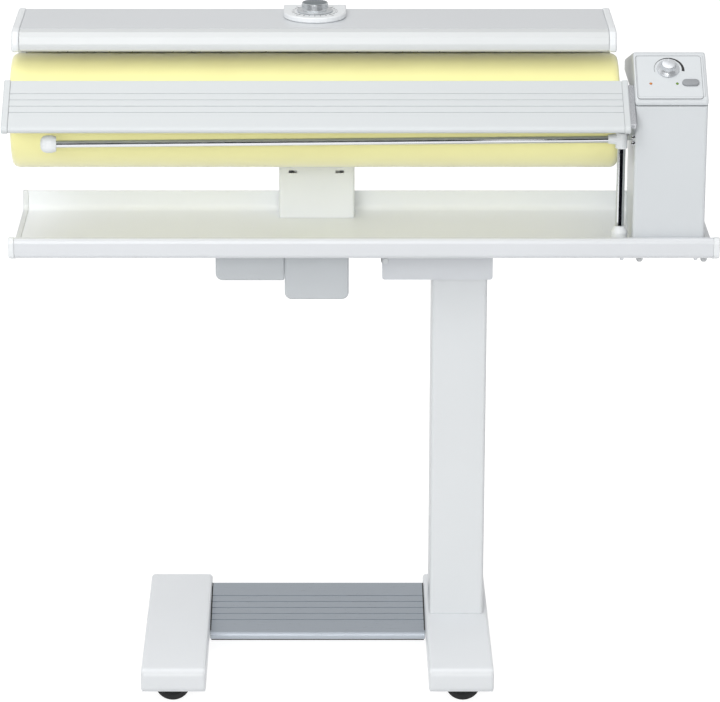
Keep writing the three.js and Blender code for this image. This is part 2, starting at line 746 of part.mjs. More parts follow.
// gearmotor of the shoe lift, hung in its cover, and the crank that it turns
const motorCoverTop = carrierBottom - gap;
const gearboxRight = motorCover[1] - coverWall - gap;
const gearboxLeft = gearboxRight - gearboxLength;
const liftMotorAxis = (x) => [x, crankAxisY - liftMotorForward, crankAxisZ + liftMotorRise];
piece('lift_gearmotor', cut(joined(
  push('y', roundedRect(gearboxLeft, gearboxRight, motorCoverBottom + coverWall + gap,
    motorCoverTop, coverRound - coverWall, 1), crankAxisY - gearboxDepth / 2,
  crankAxisY + gearboxDepth / 2),
  rod(liftMotorAxis(gearboxLeft - liftMotorLength), liftMotorAxis(gearboxLeft + 1),
    liftMotorRadius, 20),
), crankBore(gearboxRight - crankSeat - 1, gearboxRight + 1)), steel);

const crankRight = armX - armWidth / 2 - gap;
const crankLeft = crankRight - crankThickness;
const crankSwing = Math.asin(shoeTravel / 2 / crankRadius);
const crankPinY = crankAxisY + crankRadius * Math.cos(crankSwing);
const crankPinZ = crankAxisZ + crankRadius * Math.sin(crankSwing);
piece('lift_crank', joined(
  rod([crankLeft, crankAxisY, crankAxisZ], [crankRight, crankAxisY, crankAxisZ],
    crankShaft + crankSide),
  rod([crankLeft, crankPinY, crankPinZ], [crankRight, crankPinY, crankPinZ], crankPin + crankSide),
  rod([gearboxRight - crankSeat, crankAxisY, crankAxisZ], [crankRight - 1, crankAxisY, crankAxisZ],
    crankShaft),
  rod([crankLeft + 1, crankPinY, crankPinZ], [crankRight + crankSlot - 1, crankPinY, crankPinZ],
    crankPin),
), steel);

// cover over the foot of the arm, standing in the tray
function armCover() {
  const left = armX - armCoverWidth / 2;
  const right = armX + armCoverWidth / 2;
  const outer = push('z', roundedRect(left, right, armCoverFront, armCoverRear, 4),
    trayFloor + gap, armCoverTop, 0, 3);
  const inside = push('z', roundedRect(left + armCoverWall, right - armCoverWall,
    armCoverFront + armCoverWall, armCoverRear - armCoverWall, 1.5), trayFloor - 1,
    armCoverTop - armCoverWall, 0, 2);
  const mouth = block(armSlot, armSlotY, [armCoverTop - 2 * armCoverWall, armCoverTop + 1]);
  const vents = ventAt.map((x) => block([armX + x - ventWidth / 2, armX + x + ventWidth / 2],
    [armCoverFront - 1, armCoverFront + armCoverWall + 1],
    [trayFloor + ventRise - ventHeight / 2, trayFloor + ventRise + ventHeight / 2]));
  return cut(solid(outer), inside, mouth, ...vents);
}
piece('rear_arm_cover', armCover(), greyPaint);

// ---- Shoe: cast trough with its arm, cover, end caps and dial ------------------------
const shoeZ = rollerZ + shoeTravel;
const shoeInner = rollerRadius + shoeGap;
const shoeOuter = shoeInner + shoeThickness;
const coverLeft = rollerLeft;
const coverRight = rollerLeft + rollerLength - coverShort;
const sheetLeft = coverLeft + coverCap + gap;
const sheetRight = coverRight - coverCap - gap;
const creaseY = coverNoseY + coverCrease;
const shoeCylinder = (radius, left, right) => rod([left, rollerY, shoeZ], [right, rollerY, shoeZ],
  radius, 64);

function shoeSection() {
  const front = (radius) => Math.acos((shoeFrontY - rollerY) / radius);
  const rear = rad(shoeRearAngle);
  const shape = new THREE.Shape();
  shape.absarc(rollerY, shoeZ, shoeInner, rear, front(shoeInner), false);
  shape.absarc(rollerY, shoeZ, shoeOuter, front(shoeOuter), rear, true);
  return shape;
}
piece('heater_shoe', push('x', shoeSection(), sheetLeft + coverInset, sheetRight - coverInset, 0, 20),
  aluminium);

function shoeArm() {
  const left = armX - armWidth / 2;
  const right = armX + armWidth / 2;
  const front = armY - armDepth / 2;
  const upright = push('z', roundedRect(left, right, front, armY + armDepth / 2, 3), armBottom,
    armTop, 0, 2);
  const head = block([left, right], [armHeadFront, armY], [armTop - armHead, armTop]);
  const slotZ = armBottom + armSlotUp;
  const slot = block([left - 1, left + crankSlot], [front + armWall, armY + armDepth / 2 - armWall],
    [slotZ - crankPin - crankClear, slotZ + crankPin + crankClear]);
  return cut(joined(upright, head), shoeCylinder(shoeOuter + gap, left - 1, right + 1), slot);
}
piece('shoe_arm', shoeArm(), aluminium);

function coverSection(sheet) {
  const inner = Math.max(coverRearRound - sheet, 1);
  const shape = new THREE.Shape();
  shape.moveTo(creaseY, coverTop);
  shape.lineTo(coverRearY - coverRearRound, coverTop);
  shape.absarc(coverRearY - coverRearRound, coverTop - coverRearRound, coverRearRound,
    Math.PI / 2, 0, true);
  shape.lineTo(coverRearY, coverSkirt);
  shape.lineTo(coverRearY - sheet, coverSkirt);
  shape.absarc(coverRearY - coverRearRound, coverTop - coverRearRound, inner, 0, Math.PI / 2, false);
  shape.lineTo(creaseY, coverTop - sheet);
  return shape;
}

// webs under the cover stand on the casting
function shoeCover() {
  const sheet = push('x', coverSection(coverSheet), sheetLeft, sheetRight);
  const webs = [sheetLeft + webInset, armX - webSpread, armX + webSpread, sheetRight - webInset]
    .map((x) => block([x - webWidth / 2, x + webWidth / 2],
      [creaseY + webWidth, coverRearY - coverRearRound],
      [shoeZ + webFoot, coverTop - coverSheet / 2]));
  const notch = block(armSlot,
    [coverRearY - 2 * coverSheet, coverRearY + 1], [coverSkirt - 1, armTop + 1]);
  const spindle = rod([dialX, dialY, coverTop - 20], [dialX, dialY, coverTop + 1], spindleHole);
  return cut(joined(sheet, ...webs), shoeCylinder(shoeOuter + gap, sheetLeft, sheetRight), notch,
    spindle);
}
piece('shoe_cover', shoeCover(), silver);

// outer outline of the cover and the nose together, grown where the end caps stand proud
function coverOutline(grow) {
  const noseY = coverNoseY - grow;
  const bottom = noseBottom - grow;
  const rear = coverRearY + grow;
  const top = coverTop + grow;
  const round = coverRearRound;
  const shape = new THREE.Shape();
  shape.moveTo(rear, coverSkirt);
  shape.lineTo(rear, top - round);
  shape.absarc(rear - round, top - round, round, 0, Math.PI / 2, false);
  shape.lineTo(creaseY, top);
  shape.quadraticCurveTo(noseY, top - capProud, noseY, top - noseDrop - capProud);
  shape.lineTo(noseY, bottom + noseRound);
  shape.quadraticCurveTo(noseY, bottom, noseY + noseRound, bottom);
  shape.lineTo(rollerY, bottom);
  shape.lineTo(rollerY, coverSkirt);
  return shape;
}
for (const [side, x] of [['left', coverLeft], ['right', coverRight - coverCap]]) {
  const plate = push('x', coverOutline(capProud), x, x + coverCap, 3);
  piece(`cover_cap_${side}`, cut(solid(plate),
    shoeCylinder(shoeInner, x - 1, x + coverCap + 1)), white);
}

// finger guard: the white nose, hinged along the crease
function guardSection() {
  const hinge = creaseY - gap;
  const top = coverTop - 0.5;
  const inner = coverNoseY + noseSheet;
  const shape = new THREE.Shape();
  shape.moveTo(hinge, top);
  shape.quadraticCurveTo(coverNoseY, top, coverNoseY, coverTop - noseDrop);
  shape.lineTo(coverNoseY, noseBottom + noseRound);
  shape.quadraticCurveTo(coverNoseY, noseBottom, coverNoseY + noseRound, noseBottom);
  shape.lineTo(coverNoseY + noseRound, noseBottom + noseSheet);
  shape.quadraticCurveTo(inner, noseBottom + noseSheet, inner, noseBottom + noseRound);
  shape.lineTo(inner, coverTop - noseDrop);
  shape.quadraticCurveTo(inner, top - noseSheet, hinge, top - noseSheet);
  return shape;
}
piece('finger_guard', push('x', guardSection(), sheetLeft, sheetRight), white);

function dialPlate() {
  const shape = new THREE.Shape();
  shape.moveTo(dialX + dialRadius, dialRearY);
  shape.lineTo(dialX + dialRadius, dialY);
  shape.absarc(dialX, dialY, dialRadius, 0, -Math.PI, true);
  shape.lineTo(dialX - dialRadius, dialRearY);
  const plate = push('z', shape, coverTop + gap, coverTop + dialHeight, 1.5, 8);
  return cut(solid(plate), rod([dialX, dialY, coverTop], [dialX, dialY, coverTop + 20],
    spindleHole));
}
piece('dial_plate', dialPlate(), white);

const dialTop = coverTop + dialHeight;
const knobFoot = dialTop + gap;
const knobRim = knobFoot + dialSkirtHeight;
const temperatureKnob = piece('temperature_knob', turned([
  [0, coverTop - coverSheet], [spindleRadius, coverTop - coverSheet], [spindleRadius, knobFoot],
  [dialSkirt, knobFoot],
  [dialSkirt, knobRim - 1], [dialSkirt - 2, knobRim], [dialKnob, knobRim],
  [dialKnob, knobRim + dialKnobHeight - 1], [dialKnob - 1, knobRim + dialKnobHeight],
  [0, knobRim + dialKnobHeight],
], 24).rotateX(Math.PI / 2), chrome);
temperatureKnob.position.set(dialX, dialY, 0);

piece('thermostat', cut(solid(rod([dialX, dialY, shoeZ + shoeOuter / 2],
  [dialX, dialY, coverTop - coverSheet - gap], thermostatRadius)),
shoeCylinder(shoeOuter + gap, dialX - thermostatRadius - 1, dialX + thermostatRadius + 1),
rod([dialX, dialY, coverTop - spindleSeat], [dialX, dialY, coverTop], spindleHole)), black);

// ---- Roller -----------------------------------------------------------------------
const rollerRight = rollerLeft + rollerLength;
const drumRadius = rollerRadius - clothThickness - gap;
const shaftEnd = rollerRight + shaftReach;
function rollerDrum() {
  const left = rollerLeft + drumInset;
  const right = rollerRight - drumInset;
  const bore = drumRadius - drumWall;
  return turned([
    [0, right - drumFlange], [bore, right - drumFlange], [bore, left + drumRecess + drumWall],
    [drumHole, left + drumRecess + drumWall], [drumHole, left + drumRecess],
    [bore - drumFlange, left + drumRecess], [bore - drumFlange, left], [drumRadius, left],
    [drumRadius, right], [shaftRadius + shaftCollar, right],
    [shaftRadius + shaftCollar, right + collarWidth], [shaftRadius, right + collarWidth],
    [shaftRadius, shaftEnd], [0, shaftEnd],
  ], 32);
}
const clothLeft = rollerLeft - clothOver;
const clothRight = rollerRight + clothOver;
const alongX = (geometry) => geometry.rotateZ(-Math.PI / 2);
const drum = piece('roller_drum', alongX(rollerDrum()), aluminium);
const padding = piece('roller_cloth', alongX(turned([
  [drumRadius + gap, clothLeft], [drumRadius + clothThickness / 3, clothLeft],
  [rollerRadius - clothRound / 8, clothLeft + clothRound / 2],
  [rollerRadius, clothLeft + clothRound], [rollerRadius, clothRight - clothRound],
  [rollerRadius - clothRound / 8, clothRight - clothRound / 2],
  [drumRadius + clothThickness / 3, clothRight],
  [drumRadius + gap, clothRight], [drumRadius + gap, clothLeft],
], 48)), cloth);
drum.position.set(0, rollerY, rollerZ);
padding.position.set(0, rollerY, rollerZ);

// ---- Feeding board: a hollow grooved extrusion with end caps and a bracket ------------
const boardRun = Math.hypot(boardRear[0] - boardFront[0], boardRear[1] - boardFront[1]);
const boardSlope = Math.atan2(boardRear[1] - boardFront[1], boardRear[0] - boardFront[0]);
const onBoard = (forward, up) => [
  boardRear[0] - forward * Math.cos(boardSlope) - up * Math.sin(boardSlope),
  boardRear[1] - forward * Math.sin(boardSlope) + up * Math.cos(boardSlope),
];

function boardOutline(grow, grooves) {
  const outline = [onBoard(-grow, -boardThickness - grow), onBoard(-grow, grow)];
  for (let i = 0; i < grooves; i += 1) {
    const near = boardFlat + i * boardPitch;
    outline.push(onBoard(near, 0), onBoard(near, -boardGrooveDepth));
    outline.push(onBoard(near + boardGrooveWidth, -boardGrooveDepth));
    outline.push(onBoard(near + boardGrooveWidth, 0));
  }
  const radius = boardThickness / 2 + grow;
  const centre = boardRun - boardThickness / 2;
  for (let i = 0; i <= 6; i += 1) {
    const turn = Math.PI / 2 - i * Math.PI / 6;
    outline.push(onBoard(centre + radius * Math.cos(turn),
      radius * Math.sin(turn) - boardThickness / 2));
  }
  return polygon(outline);
}
function boardHollow() {
  const low = boardWall - boardThickness;
  return polygon([onBoard(boardWall, low), onBoard(boardWall, -boardWall),
    onBoard(boardRun - boardThickness, -boardWall), onBoard(boardRun - boardThickness, low)]);
}
const boardStart = boardLeft + gap;
const boardEnd = boardRight - gap;
piece('feed_board', cut(solid(push('x', boardOutline(0, boardGrooves), boardStart, boardEnd)),
  push('x', boardHollow(), boardStart - 1, boardEnd + 1)), white);
piece('feed_board_cap_left', push('x', boardOutline(capGrow, 0), boardLeft - boardCapLeft,
  boardLeft, 1), white);
piece('feed_board_cap_right', push('x', boardOutline(capGrow, 0), boardRight,
  boardRight + boardCapRight, 1), white);

const bracketPlate = polygon([
  onBoard(boardArm.rear, -boardArm.skin), onBoard(boardRun - boardArm.front, -boardArm.skin),
  onBoard(boardRun - boardArm.front, -boardThickness),
  ...boardArm.foot.map((back) => [housingFront + back, housingTop - boardArm.drop]),
  [housingFront + boardArm.heel[0], housingTop - boardArm.heel[1]],
  onBoard(boardArm.rear, -boardThickness),
]);
piece('feed_board_bracket', push('x', bracketPlate, boardRight + boardCapRight + gap,
  housingLeft - gap), steel);

// ---- Laundry rail: a bar that swings out about its post ------------------------------
const postBottom = trayFloor + domeHeight - postSeat;
const teeTop = railZ + teeHeight / 2;
const postTop = teeTop + postProud;
piece('rail_post', rod([railX, railY, postBottom], [railX, railY, postTop], postRadius), chrome);
const dome = turned([
  [0, trayFloor + gap], [domeRadius, trayFloor + gap], [domeRadius, trayFloor + domeHeight - domeShoulder],
  [domeRadius - domeShoulder / 3, trayFloor + domeHeight - domeShoulder / 3],
  [postRadius + domeRim, trayFloor + domeHeight],
  [postRadius + gap, trayFloor + domeHeight], [postRadius + gap, postBottom - gap],
  [0, postBottom - gap],
], 20).rotateX(Math.PI / 2).translate(railX, railY, 0);
piece('rail_socket', cut(solid(dome), trayTrim()), white);

const rail = new THREE.Group();
rail.position.set(railX, railY, railZ);
rail.rotation.z = rad(railRestSwing);
ironer.add(rail);
const barLeft = railLeftEnd - railX;
const teeNeck = postRadius + gap + teeWall;
piece('rail_bar', rod([barLeft + railSeat, 0, 0], [-teeNeck, 0, 0], railRadius), chrome, rail);
const teeBody = rod([0, 0, -teeHeight / 2], [0, 0, teeHeight / 2 - teeStep], teeRadius, 20);
const teeCone = rod([-teeReach, 0, 0], [0, 0, 0], railRadius + teeWall, 16,
  teeHeight / 2 - teeStep - 1);
piece('rail_tee', cut(joined(teeBody, teeCone),
  rod([0, 0, -teeHeight], [0, 0, teeHeight], postRadius + running, 20),
  rod([-teeReach - 1, 0, 0], [-teeNeck + gap, 0, 0], railRadius + gap, 16)), white, rail);
const capSocket = railRadius + gap;
piece('rail_end_cap', turned([
  [0, 0], [railCapRadius * 0.55, railCapLength * 0.04], [railCapRadius * 0.87, railCapLength * 0.17],
  [railCapRadius, railCapLength * 0.4], [railCapRadius, railCapLength * 0.72],
  [railCapRadius * 0.85, railCapLength], [capSocket, railCapLength], [capSocket, railSeat - gap],
  [0, railSeat - gap],
], 20).rotateZ(-Math.PI / 2).translate(barLeft, 0, 0), white, rail);

// ---- Drive side: housing, head and the works inside -----------------------------------
// a closed outline with every corner rounded by the same radius
function roundedPolygon(points, radius) {
  const shape = new THREE.Shape();
  points.forEach(([x, y], i) => {
    const before = points[(i + points.length - 1) % points.length];
    const after = points[(i + 1) % points.length];
    const toward = ([a, b]) => {
      const length = Math.hypot(a - x, b - y);
      return [x + (a - x) * radius / length, y + (b - y) * radius / length];
    };
    const start = toward(before);
    if (i === 0) shape.moveTo(...start);
    else shape.lineTo(...start);
    shape.quadraticCurveTo(x, y, ...toward(after));
  });
  return shape;
}

const housingPlan = (inset, radius) => roundedPolygon([
  [housingLeft + inset, housingFront + inset], [housingRight - inset, housingFront + inset],
  [housingRight - housingTaper - inset, housingRear - inset],
  [housingLeft + housingTaper + inset, housingRear - inset],
], radius);
const shaftLine = (x) => [x, rollerY, rollerZ];
piece('drive_housing', cut(
  solid(push('z', housingPlan(0, housingRound), trayFloor + gap, housingTop - gap)),
  push('z', housingPlan(housingWall, housingRound - housingWall), trayFloor - 1, housingTop + 1),
  rod(shaftLine(housingLeft - 5), shaftLine(housingLeft + housingTaper + 5),
    shaftRadius + shaftPlay, 20),
  trayTrim(),
), white);

const slopeFoot = [housingFront, housingTop + headFrontLip];
const panelTilt = Math.atan2(ridgeZ - slopeFoot[1], ridgeY - slopeFoot[0]);
const slopeLength = Math.hypot(ridgeY - slopeFoot[0], ridgeZ - slopeFoot[1]);
const housingMiddle = (housingLeft + housingRight) / 2;

// puts a shape drawn flat, with +Y up the slope, onto the sloping face
function onPanel(geometry) {
  return geometry.rotateX(panelTilt).translate(housingMiddle, ...slopeFoot);
}
const headSection = (inset, low, radius) => roundedPolygon([
  [housingFront + inset, low], [slopeFoot[0] + inset, slopeFoot[1] - inset * 0.4],
  [ridgeY + inset * 0.2, ridgeZ - inset], [headRearY - inset, headRearZ - inset],
  [headRearY - inset, low],
], radius);
const panelEdge = (housingRight - housingLeft) / 2 - panelMargin;
function panelShape(inset) {
  return roundedRect(-panelEdge + inset, panelEdge - inset, panelMargin + inset,
    slopeLength - panelHead - inset, 3);
}
function controlHead() {
  const outer = push('x', headSection(0, housingTop, headCorner), housingLeft, housingRight, 3);
  const inside = push('x', headSection(headWall, housingTop - 20, 2), housingLeft + headWall,
    housingRight - headWall);
  const recess = onPanel(push('z', panelShape(0), -panelThickness - gap, 5));
  const knobHole = onPanel(rod([speedKnob.across, speedKnob.up, -through],
    [speedKnob.across, speedKnob.up, 5], speedKnob.hole, 12));
  const buttonHole = onPanel(push('z', buttonShape(running), -through, 5));
  return cut(solid(outer), inside, recess, knobHole, buttonHole);
}
function buttonShape(grow) {
  const half = [powerButton.length / 2 + grow, powerButton.width / 2 + grow];
  return roundedRect(powerButton.across - half[0], powerButton.across + half[0],
    powerButton.up - half[1], powerButton.up + half[1], half[1] - 0.01);
}
piece('control_head', controlHead(), white);

function controlPanel() {
  const plate = onPanel(push('z', panelShape(gap), -panelThickness, 0));
  const holes = [speedKnob, heatLamp, readyLamp].map(({ across, up, hole }) => onPanel(
    rod([across, up, -through], [across, up, 5], hole, 12)));
  return cut(solid(plate), ...holes, onPanel(push('z', buttonShape(running), -through, 5)));
}
piece('control_panel', controlPanel(), silver);

const knobAt = ([r, z]) => [r, z + gap];
const speedProfile = [
  [0, -speedKnob.seat], [speedKnob.stem, -speedKnob.seat], [speedKnob.stem, 0],
  [speedKnob.skirt, 0], [speedKnob.skirt, 1.5],
  [speedKnob.cap + 2, speedKnob.skirtHeight], [speedKnob.cap, speedKnob.height - 1],
  [speedKnob.cap - 1, speedKnob.height], [0, speedKnob.height],
].map(knobAt);
piece('speed_knob', onPanel(turned(speedProfile, 24).rotateX(Math.PI / 2)
  .translate(speedKnob.across, speedKnob.up, 0)), greyPlastic);
piece('power_button', onPanel(push('z', buttonShape(0), -powerButton.seat,
  powerButton.proud)), greyPlastic);
for (const [name, lamp, look] of [['heat_lamp', heatLamp, orange], ['ready_lamp', readyLamp, green]]) {
  piece(name, onPanel(rod([lamp.across, lamp.up, -panelThickness],
    [lamp.across, lamp.up, lamp.proud], lamp.radius, 12)), look);
}

// upright with the two bearings of the overhung roller
function bearingBlock() {
  const left = blockX - blockWidth / 2;
  const right = blockX + blockWidth / 2;
  const front = rollerY - blockDepth / 2;
  const back = rollerY + blockDepth / 2;
  const body = block([left, right], [front, back], [trayFloor + gap, blockTop]);
  const web = block([left + blockWeb.side, right - blockWeb.side], [front - 1, back + 1],
    [trayFloor + blockWeb.low, rollerZ - blockWeb.underShaft]);
  return cut(solid(body), web, rod(shaftLine(left - 1), shaftLine(right + 1), shaftRadius + running,
    24));
}
piece('bearing_block', bearingBlock(), steel);

const motorAxis = (x) => [x, motorY, motorZ];
const motorRight = motorX + motorLength;
piece('drive_motor', cut(joined(
  rod(motorAxis(motorX), motorAxis(motorRight - motorNose), motorRadius, 24),
  block([motorX + motorNose, motorRight - 2 * motorNose], [motorY - motorFoot, motorY + motorFoot],
    [trayFloor + gap, motorZ]),
), rod(motorAxis(motorRight - motorSeat - 2), motorAxis(motorRight), motorShaft + running)), steel);

function pulley(radius, bore) {
  const half = pulleyWidth / 2;
  const hub = rod([pulleyX - half, 0, 0], [pulleyX + half, 0, 0], radius, 32);
  return bore ? cut(solid(hub), rod([pulleyX - 20, 0, 0], [pulleyX + 20, 0, 0], bore, 24))
    : solid(hub);
}
const bigPulley = piece('roller_pulley', pulley(rollerPulley, shaftRadius + gap), aluminium);
bigPulley.position.set(0, rollerY, rollerZ);
const smallPulley = piece('motor_pulley', pulley(motorPulley).add(solid(
  rod([motorRight - motorSeat, 0, 0], [pulleyX, 0, 0], motorShaft))), aluminium);
smallPulley.position.set(0, motorY, motorZ);

// the belt runs over both pulleys along their outer tangents
function beltOutline(extra) {
  const across = motorY - rollerY;
  const down = rollerZ - motorZ;
  const span = Math.hypot(across, down);
  const lean = Math.asin((rollerPulley - motorPulley) / span);
  const facing = Math.atan2(-down, across);
  const open = Math.PI / 2 - lean;
  const shape = new THREE.Shape();
  shape.absarc(rollerY, rollerZ, rollerPulley + extra, facing + open,
    facing - open + 2 * Math.PI, false);
  shape.absarc(motorY, motorZ, motorPulley + extra, facing - open, facing + open, false);
  return shape;
}
const beltHalf = pulleyWidth / 2 - beltInset;
piece('drive_belt', cut(
  solid(push('x', beltOutline(gap + beltThickness), pulleyX - beltHalf, pulleyX + beltHalf, 0, 10)),
  push('x', beltOutline(gap), pulleyX - 20, pulleyX + 20, 0, 10),
), rubber);

export default ironer;
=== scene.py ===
# %% [markdown]
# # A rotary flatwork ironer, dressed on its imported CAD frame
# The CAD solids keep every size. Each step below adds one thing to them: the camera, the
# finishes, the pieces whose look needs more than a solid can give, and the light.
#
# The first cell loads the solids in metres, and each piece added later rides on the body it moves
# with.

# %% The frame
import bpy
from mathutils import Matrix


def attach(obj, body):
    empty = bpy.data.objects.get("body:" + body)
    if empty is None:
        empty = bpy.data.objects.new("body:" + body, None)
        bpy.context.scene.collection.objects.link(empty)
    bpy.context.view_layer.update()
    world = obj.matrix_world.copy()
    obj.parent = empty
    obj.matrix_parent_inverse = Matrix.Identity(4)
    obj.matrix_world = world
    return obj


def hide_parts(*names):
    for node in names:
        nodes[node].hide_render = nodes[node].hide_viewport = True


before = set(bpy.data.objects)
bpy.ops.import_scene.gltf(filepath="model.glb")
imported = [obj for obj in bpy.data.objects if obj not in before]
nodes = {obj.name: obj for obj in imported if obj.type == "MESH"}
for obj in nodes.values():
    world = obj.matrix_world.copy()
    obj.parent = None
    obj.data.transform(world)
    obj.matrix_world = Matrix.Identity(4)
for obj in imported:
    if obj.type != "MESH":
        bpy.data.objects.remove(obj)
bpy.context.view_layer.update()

import math

import bmesh
import bpy
from mathutils import Matrix, Vector

MM = 0.001

# %% [markdown]
# ## Camera
# The camera stands where the one of the photo did, as far as the edges in the photo tell. It could
# be placed by eye and nudged, but a lens, a place and a tilt worked out from the lines that run
# away from the camera fit most edges of the machine at once. The lens is long and tilted down. Its
# axis stands beside the middle of the picture, as it does when a picture is cropped.

# %% Camera
PICTURE_WIDTH = 720    # pixels
AXIS_SHIFT = 38        # pixels from the middle of the picture
TILT = 18              # degrees below level
LENS, SENSOR = 187.9, 36   # millimetres
PLACE = (-0.056, -5.1378, 2.143)
camera_data = bpy.data.cameras.new("camera")
camera_data.lens = LENS
camera_data.sensor_width = SENSOR
camera_data.sensor_fit = "HORIZONTAL"
camera_data.shift_x = AXIS_SHIFT / PICTURE_WIDTH
camera_data.clip_end = 60
camera = bpy.data.objects.new("camera", camera_data)
camera.location = PLACE
camera.rotation_euler = (math.radians(90 - TILT), 0, 0)
bpy.context.scene.collection.objects.link(camera)
bpy.context.scene.camera = camera
bpy.context.scene.view_settings.view_transform = "Standard"
print("camera:", LENS, "mm lens at", PLACE)

# %% [markdown]
# ## Finishes
# Paint, plastic and metal all differ from a flat colour in three small ways: their tone drifts,
# their gloss varies, and their surface is a little uneven. Image textures could show this, but
# they stretch over a shape. Noise in object coordinates has a real size in metres on every piece,
# so one small class with a method for each of the three is enough for all of them.

# %% Finish builder
def srgb(red, green, blue):
    """A display colour, 0 to 255, as the linear colour that shaders take."""
    linear = [c / 12.92 if c <= 0.04045 else ((c + 0.055) / 1.055) ** 2.4 for c in
              (red / 255, green / 255, blue / 255)]
    return (*linear, 1.0)


NOISE_LOW, NOISE_HIGH = 0.3, 0.7      # nearly all of a noise lies between these
COLOR_A, COLOR_B, COLOR_OUT = 6, 7, 2   # a Mix node's colour sockets, by their number


class Finish:
    """A node material: a Principled shader with named helpers for colour, roughness and bump."""

    def __init__(self, name, color, roughness, metallic=0.0, coords="Object"):
        self.material = bpy.data.materials.new(name)
        self.material.use_nodes = True
        self.tree = self.material.node_tree
        self.shader = self.tree.nodes["Principled BSDF"]
        self.color = color
        self.roughness = roughness
        self.set("Base Color", color)
        self.set("Roughness", roughness)
        self.set("Metallic", metallic)
        self.place = self.add("ShaderNodeTexCoord").outputs[coords]
        self.normal = None
        self.material.diffuse_color = color

    def add(self, kind, **values):
        node = self.tree.nodes.new(kind)
        for key, value in values.items():
            setattr(node, key, value)
        return node

    def set(self, socket, value):
        self.shader.inputs[socket].default_value = value

    def link(self, source, target):
        self.tree.links.new(source, target)

    def stretched(self, scale):
        mapping = self.add("ShaderNodeMapping")
        mapping.inputs["Scale"].default_value = scale
        self.link(self.place, mapping.inputs["Vector"])
        return mapping.outputs["Vector"]

    def noise(self, size, stretch=(1, 1, 1), detail=2.0, rough=0.5):
        """Noise whose features are about `size` metres, stretched by the three factors."""
        node = self.add("ShaderNodeTexNoise")
        node.inputs["Scale"].default_value = 1 / size
        node.inputs["Detail"].default_value = detail
        node.inputs["Roughness"].default_value = rough
        self.link(self.stretched(tuple(1 / s for s in stretch)), node.inputs["Vector"])
        return node.outputs["Fac"]

    def remap(self, value, low, high):
        """Spreads a noise over the range from low to high."""
        node = self.add("ShaderNodeMapRange")
        for socket, number in zip(("From Min", "From Max", "To Min", "To Max"),
                                  (NOISE_LOW, NOISE_HIGH, low, high)):
            node.inputs[socket].default_value = number
        self.link(value, node.inputs["Value"])
        return node.outputs["Result"]

    def tone(self, value, spread):
        """Makes the colour a little darker and lighter, by the share `spread`."""
        dark = tuple(c * (1 - spread) for c in self.color[:3]) + (1.0,)
        light = tuple(min(c * (1 + spread), 1.0) for c in self.color[:3]) + (1.0,)
        mix = self.add("ShaderNodeMix", data_type="RGBA")
        mix.inputs[COLOR_A].default_value = dark
        mix.inputs[COLOR_B].default_value = light
        self.link(self.remap(value, 0, 1), mix.inputs["Factor"])
        self.link(mix.outputs[COLOR_OUT], self.shader.inputs["Base Color"])

    def gloss(self, value, spread):
        """Makes the surface a little smoother and rougher."""
        self.link(self.remap(value, self.roughness - spread, self.roughness + spread),
                  self.shader.inputs["Roughness"])

    def bump(self, value, depth, strength):
        """Adds unevenness of a depth in metres on top of any that is there."""
        node = self.add("ShaderNodeBump")
        node.inputs["Strength"].default_value = strength
        node.inputs["Distance"].default_value = depth
        self.link(value, node.inputs["Height"])
        if self.normal is not None:
            self.link(self.normal, node.inputs["Normal"])
        self.normal = node.outputs["Normal"]
        self.link(self.normal, self.shader.inputs["Normal"])


print("finish builder ready")

# %% [markdown]
# ## Kinds of surface
# The sheets are powder coated, which dries with a faint orange peel. Small parts are moulded
# plastic with a fine grain from the mould. Tubes and extrusions are drawn, so their scratches run
# one way. Each kind is a function, because pieces of one kind differ only in colour and gloss.

# %% Painted and moulded surfaces
def painted(name, color, roughness, peel=0.00003, metallic=0.0, spread=0.012):
    """Powder coat: a faint orange peel, and a slow drift of tone over the sheet."""
    finish = Finish(name, color, roughness, metallic)
    finish.tone(finish.noise(0.21, detail=3), spread)
    finish.gloss(finish.noise(0.05), 0.01)
    finish.bump(finish.noise(0.0022), peel, 0.5)
    return finish.material


def moulded(name, color, roughness, grain=0.00004, spread=0.01):
    """Moulded plastic: a fine spark-eroded grain."""
    finish = Finish(name, color, roughness)
    finish.tone(finish.noise(0.09), spread)
    finish.gloss(finish.noise(0.012), 0.03)
    finish.bump(finish.noise(0.0007, detail=4), grain, 0.5)
    return finish.material


def drawn_metal(name, color, roughness, stretch, metallic=1.0, scratch=0.00002, spread=0.06):
    """Brushed or drawn metal: long thin scratches along one axis."""
    finish = Finish(name, color, roughness, metallic)
    lines = finish.noise(0.0006, stretch, detail=5, rough=0.7)
    finish.tone(lines, spread)
    finish.gloss(lines, 0.08)
    finish.bump(lines, scratch, 0.4)
    return finish.material


def cast_metal(name, color, roughness):
    """Cast aluminium: cloudy and slightly rough in all directions."""
    finish = Finish(name, color, roughness, 1.0)
    finish.tone(finish.noise(0.03, detail=4), 0.08)
    finish.gloss(finish.noise(0.004), 0.08)
    finish.bump(finish.noise(0.0015, detail=5), 0.00008, 0.6)
    return finish.material


def lens(name, color):
    """A clear coloured lamp cap."""
    finish = Finish(name, color, 0.12)
    finish.set("Transmission Weight", 0.35)
    finish.set("Coat Weight", 0.6)
    finish.tone(finish.noise(0.0012), 0.1)
    return finish.material


print("kinds of surface: 5")
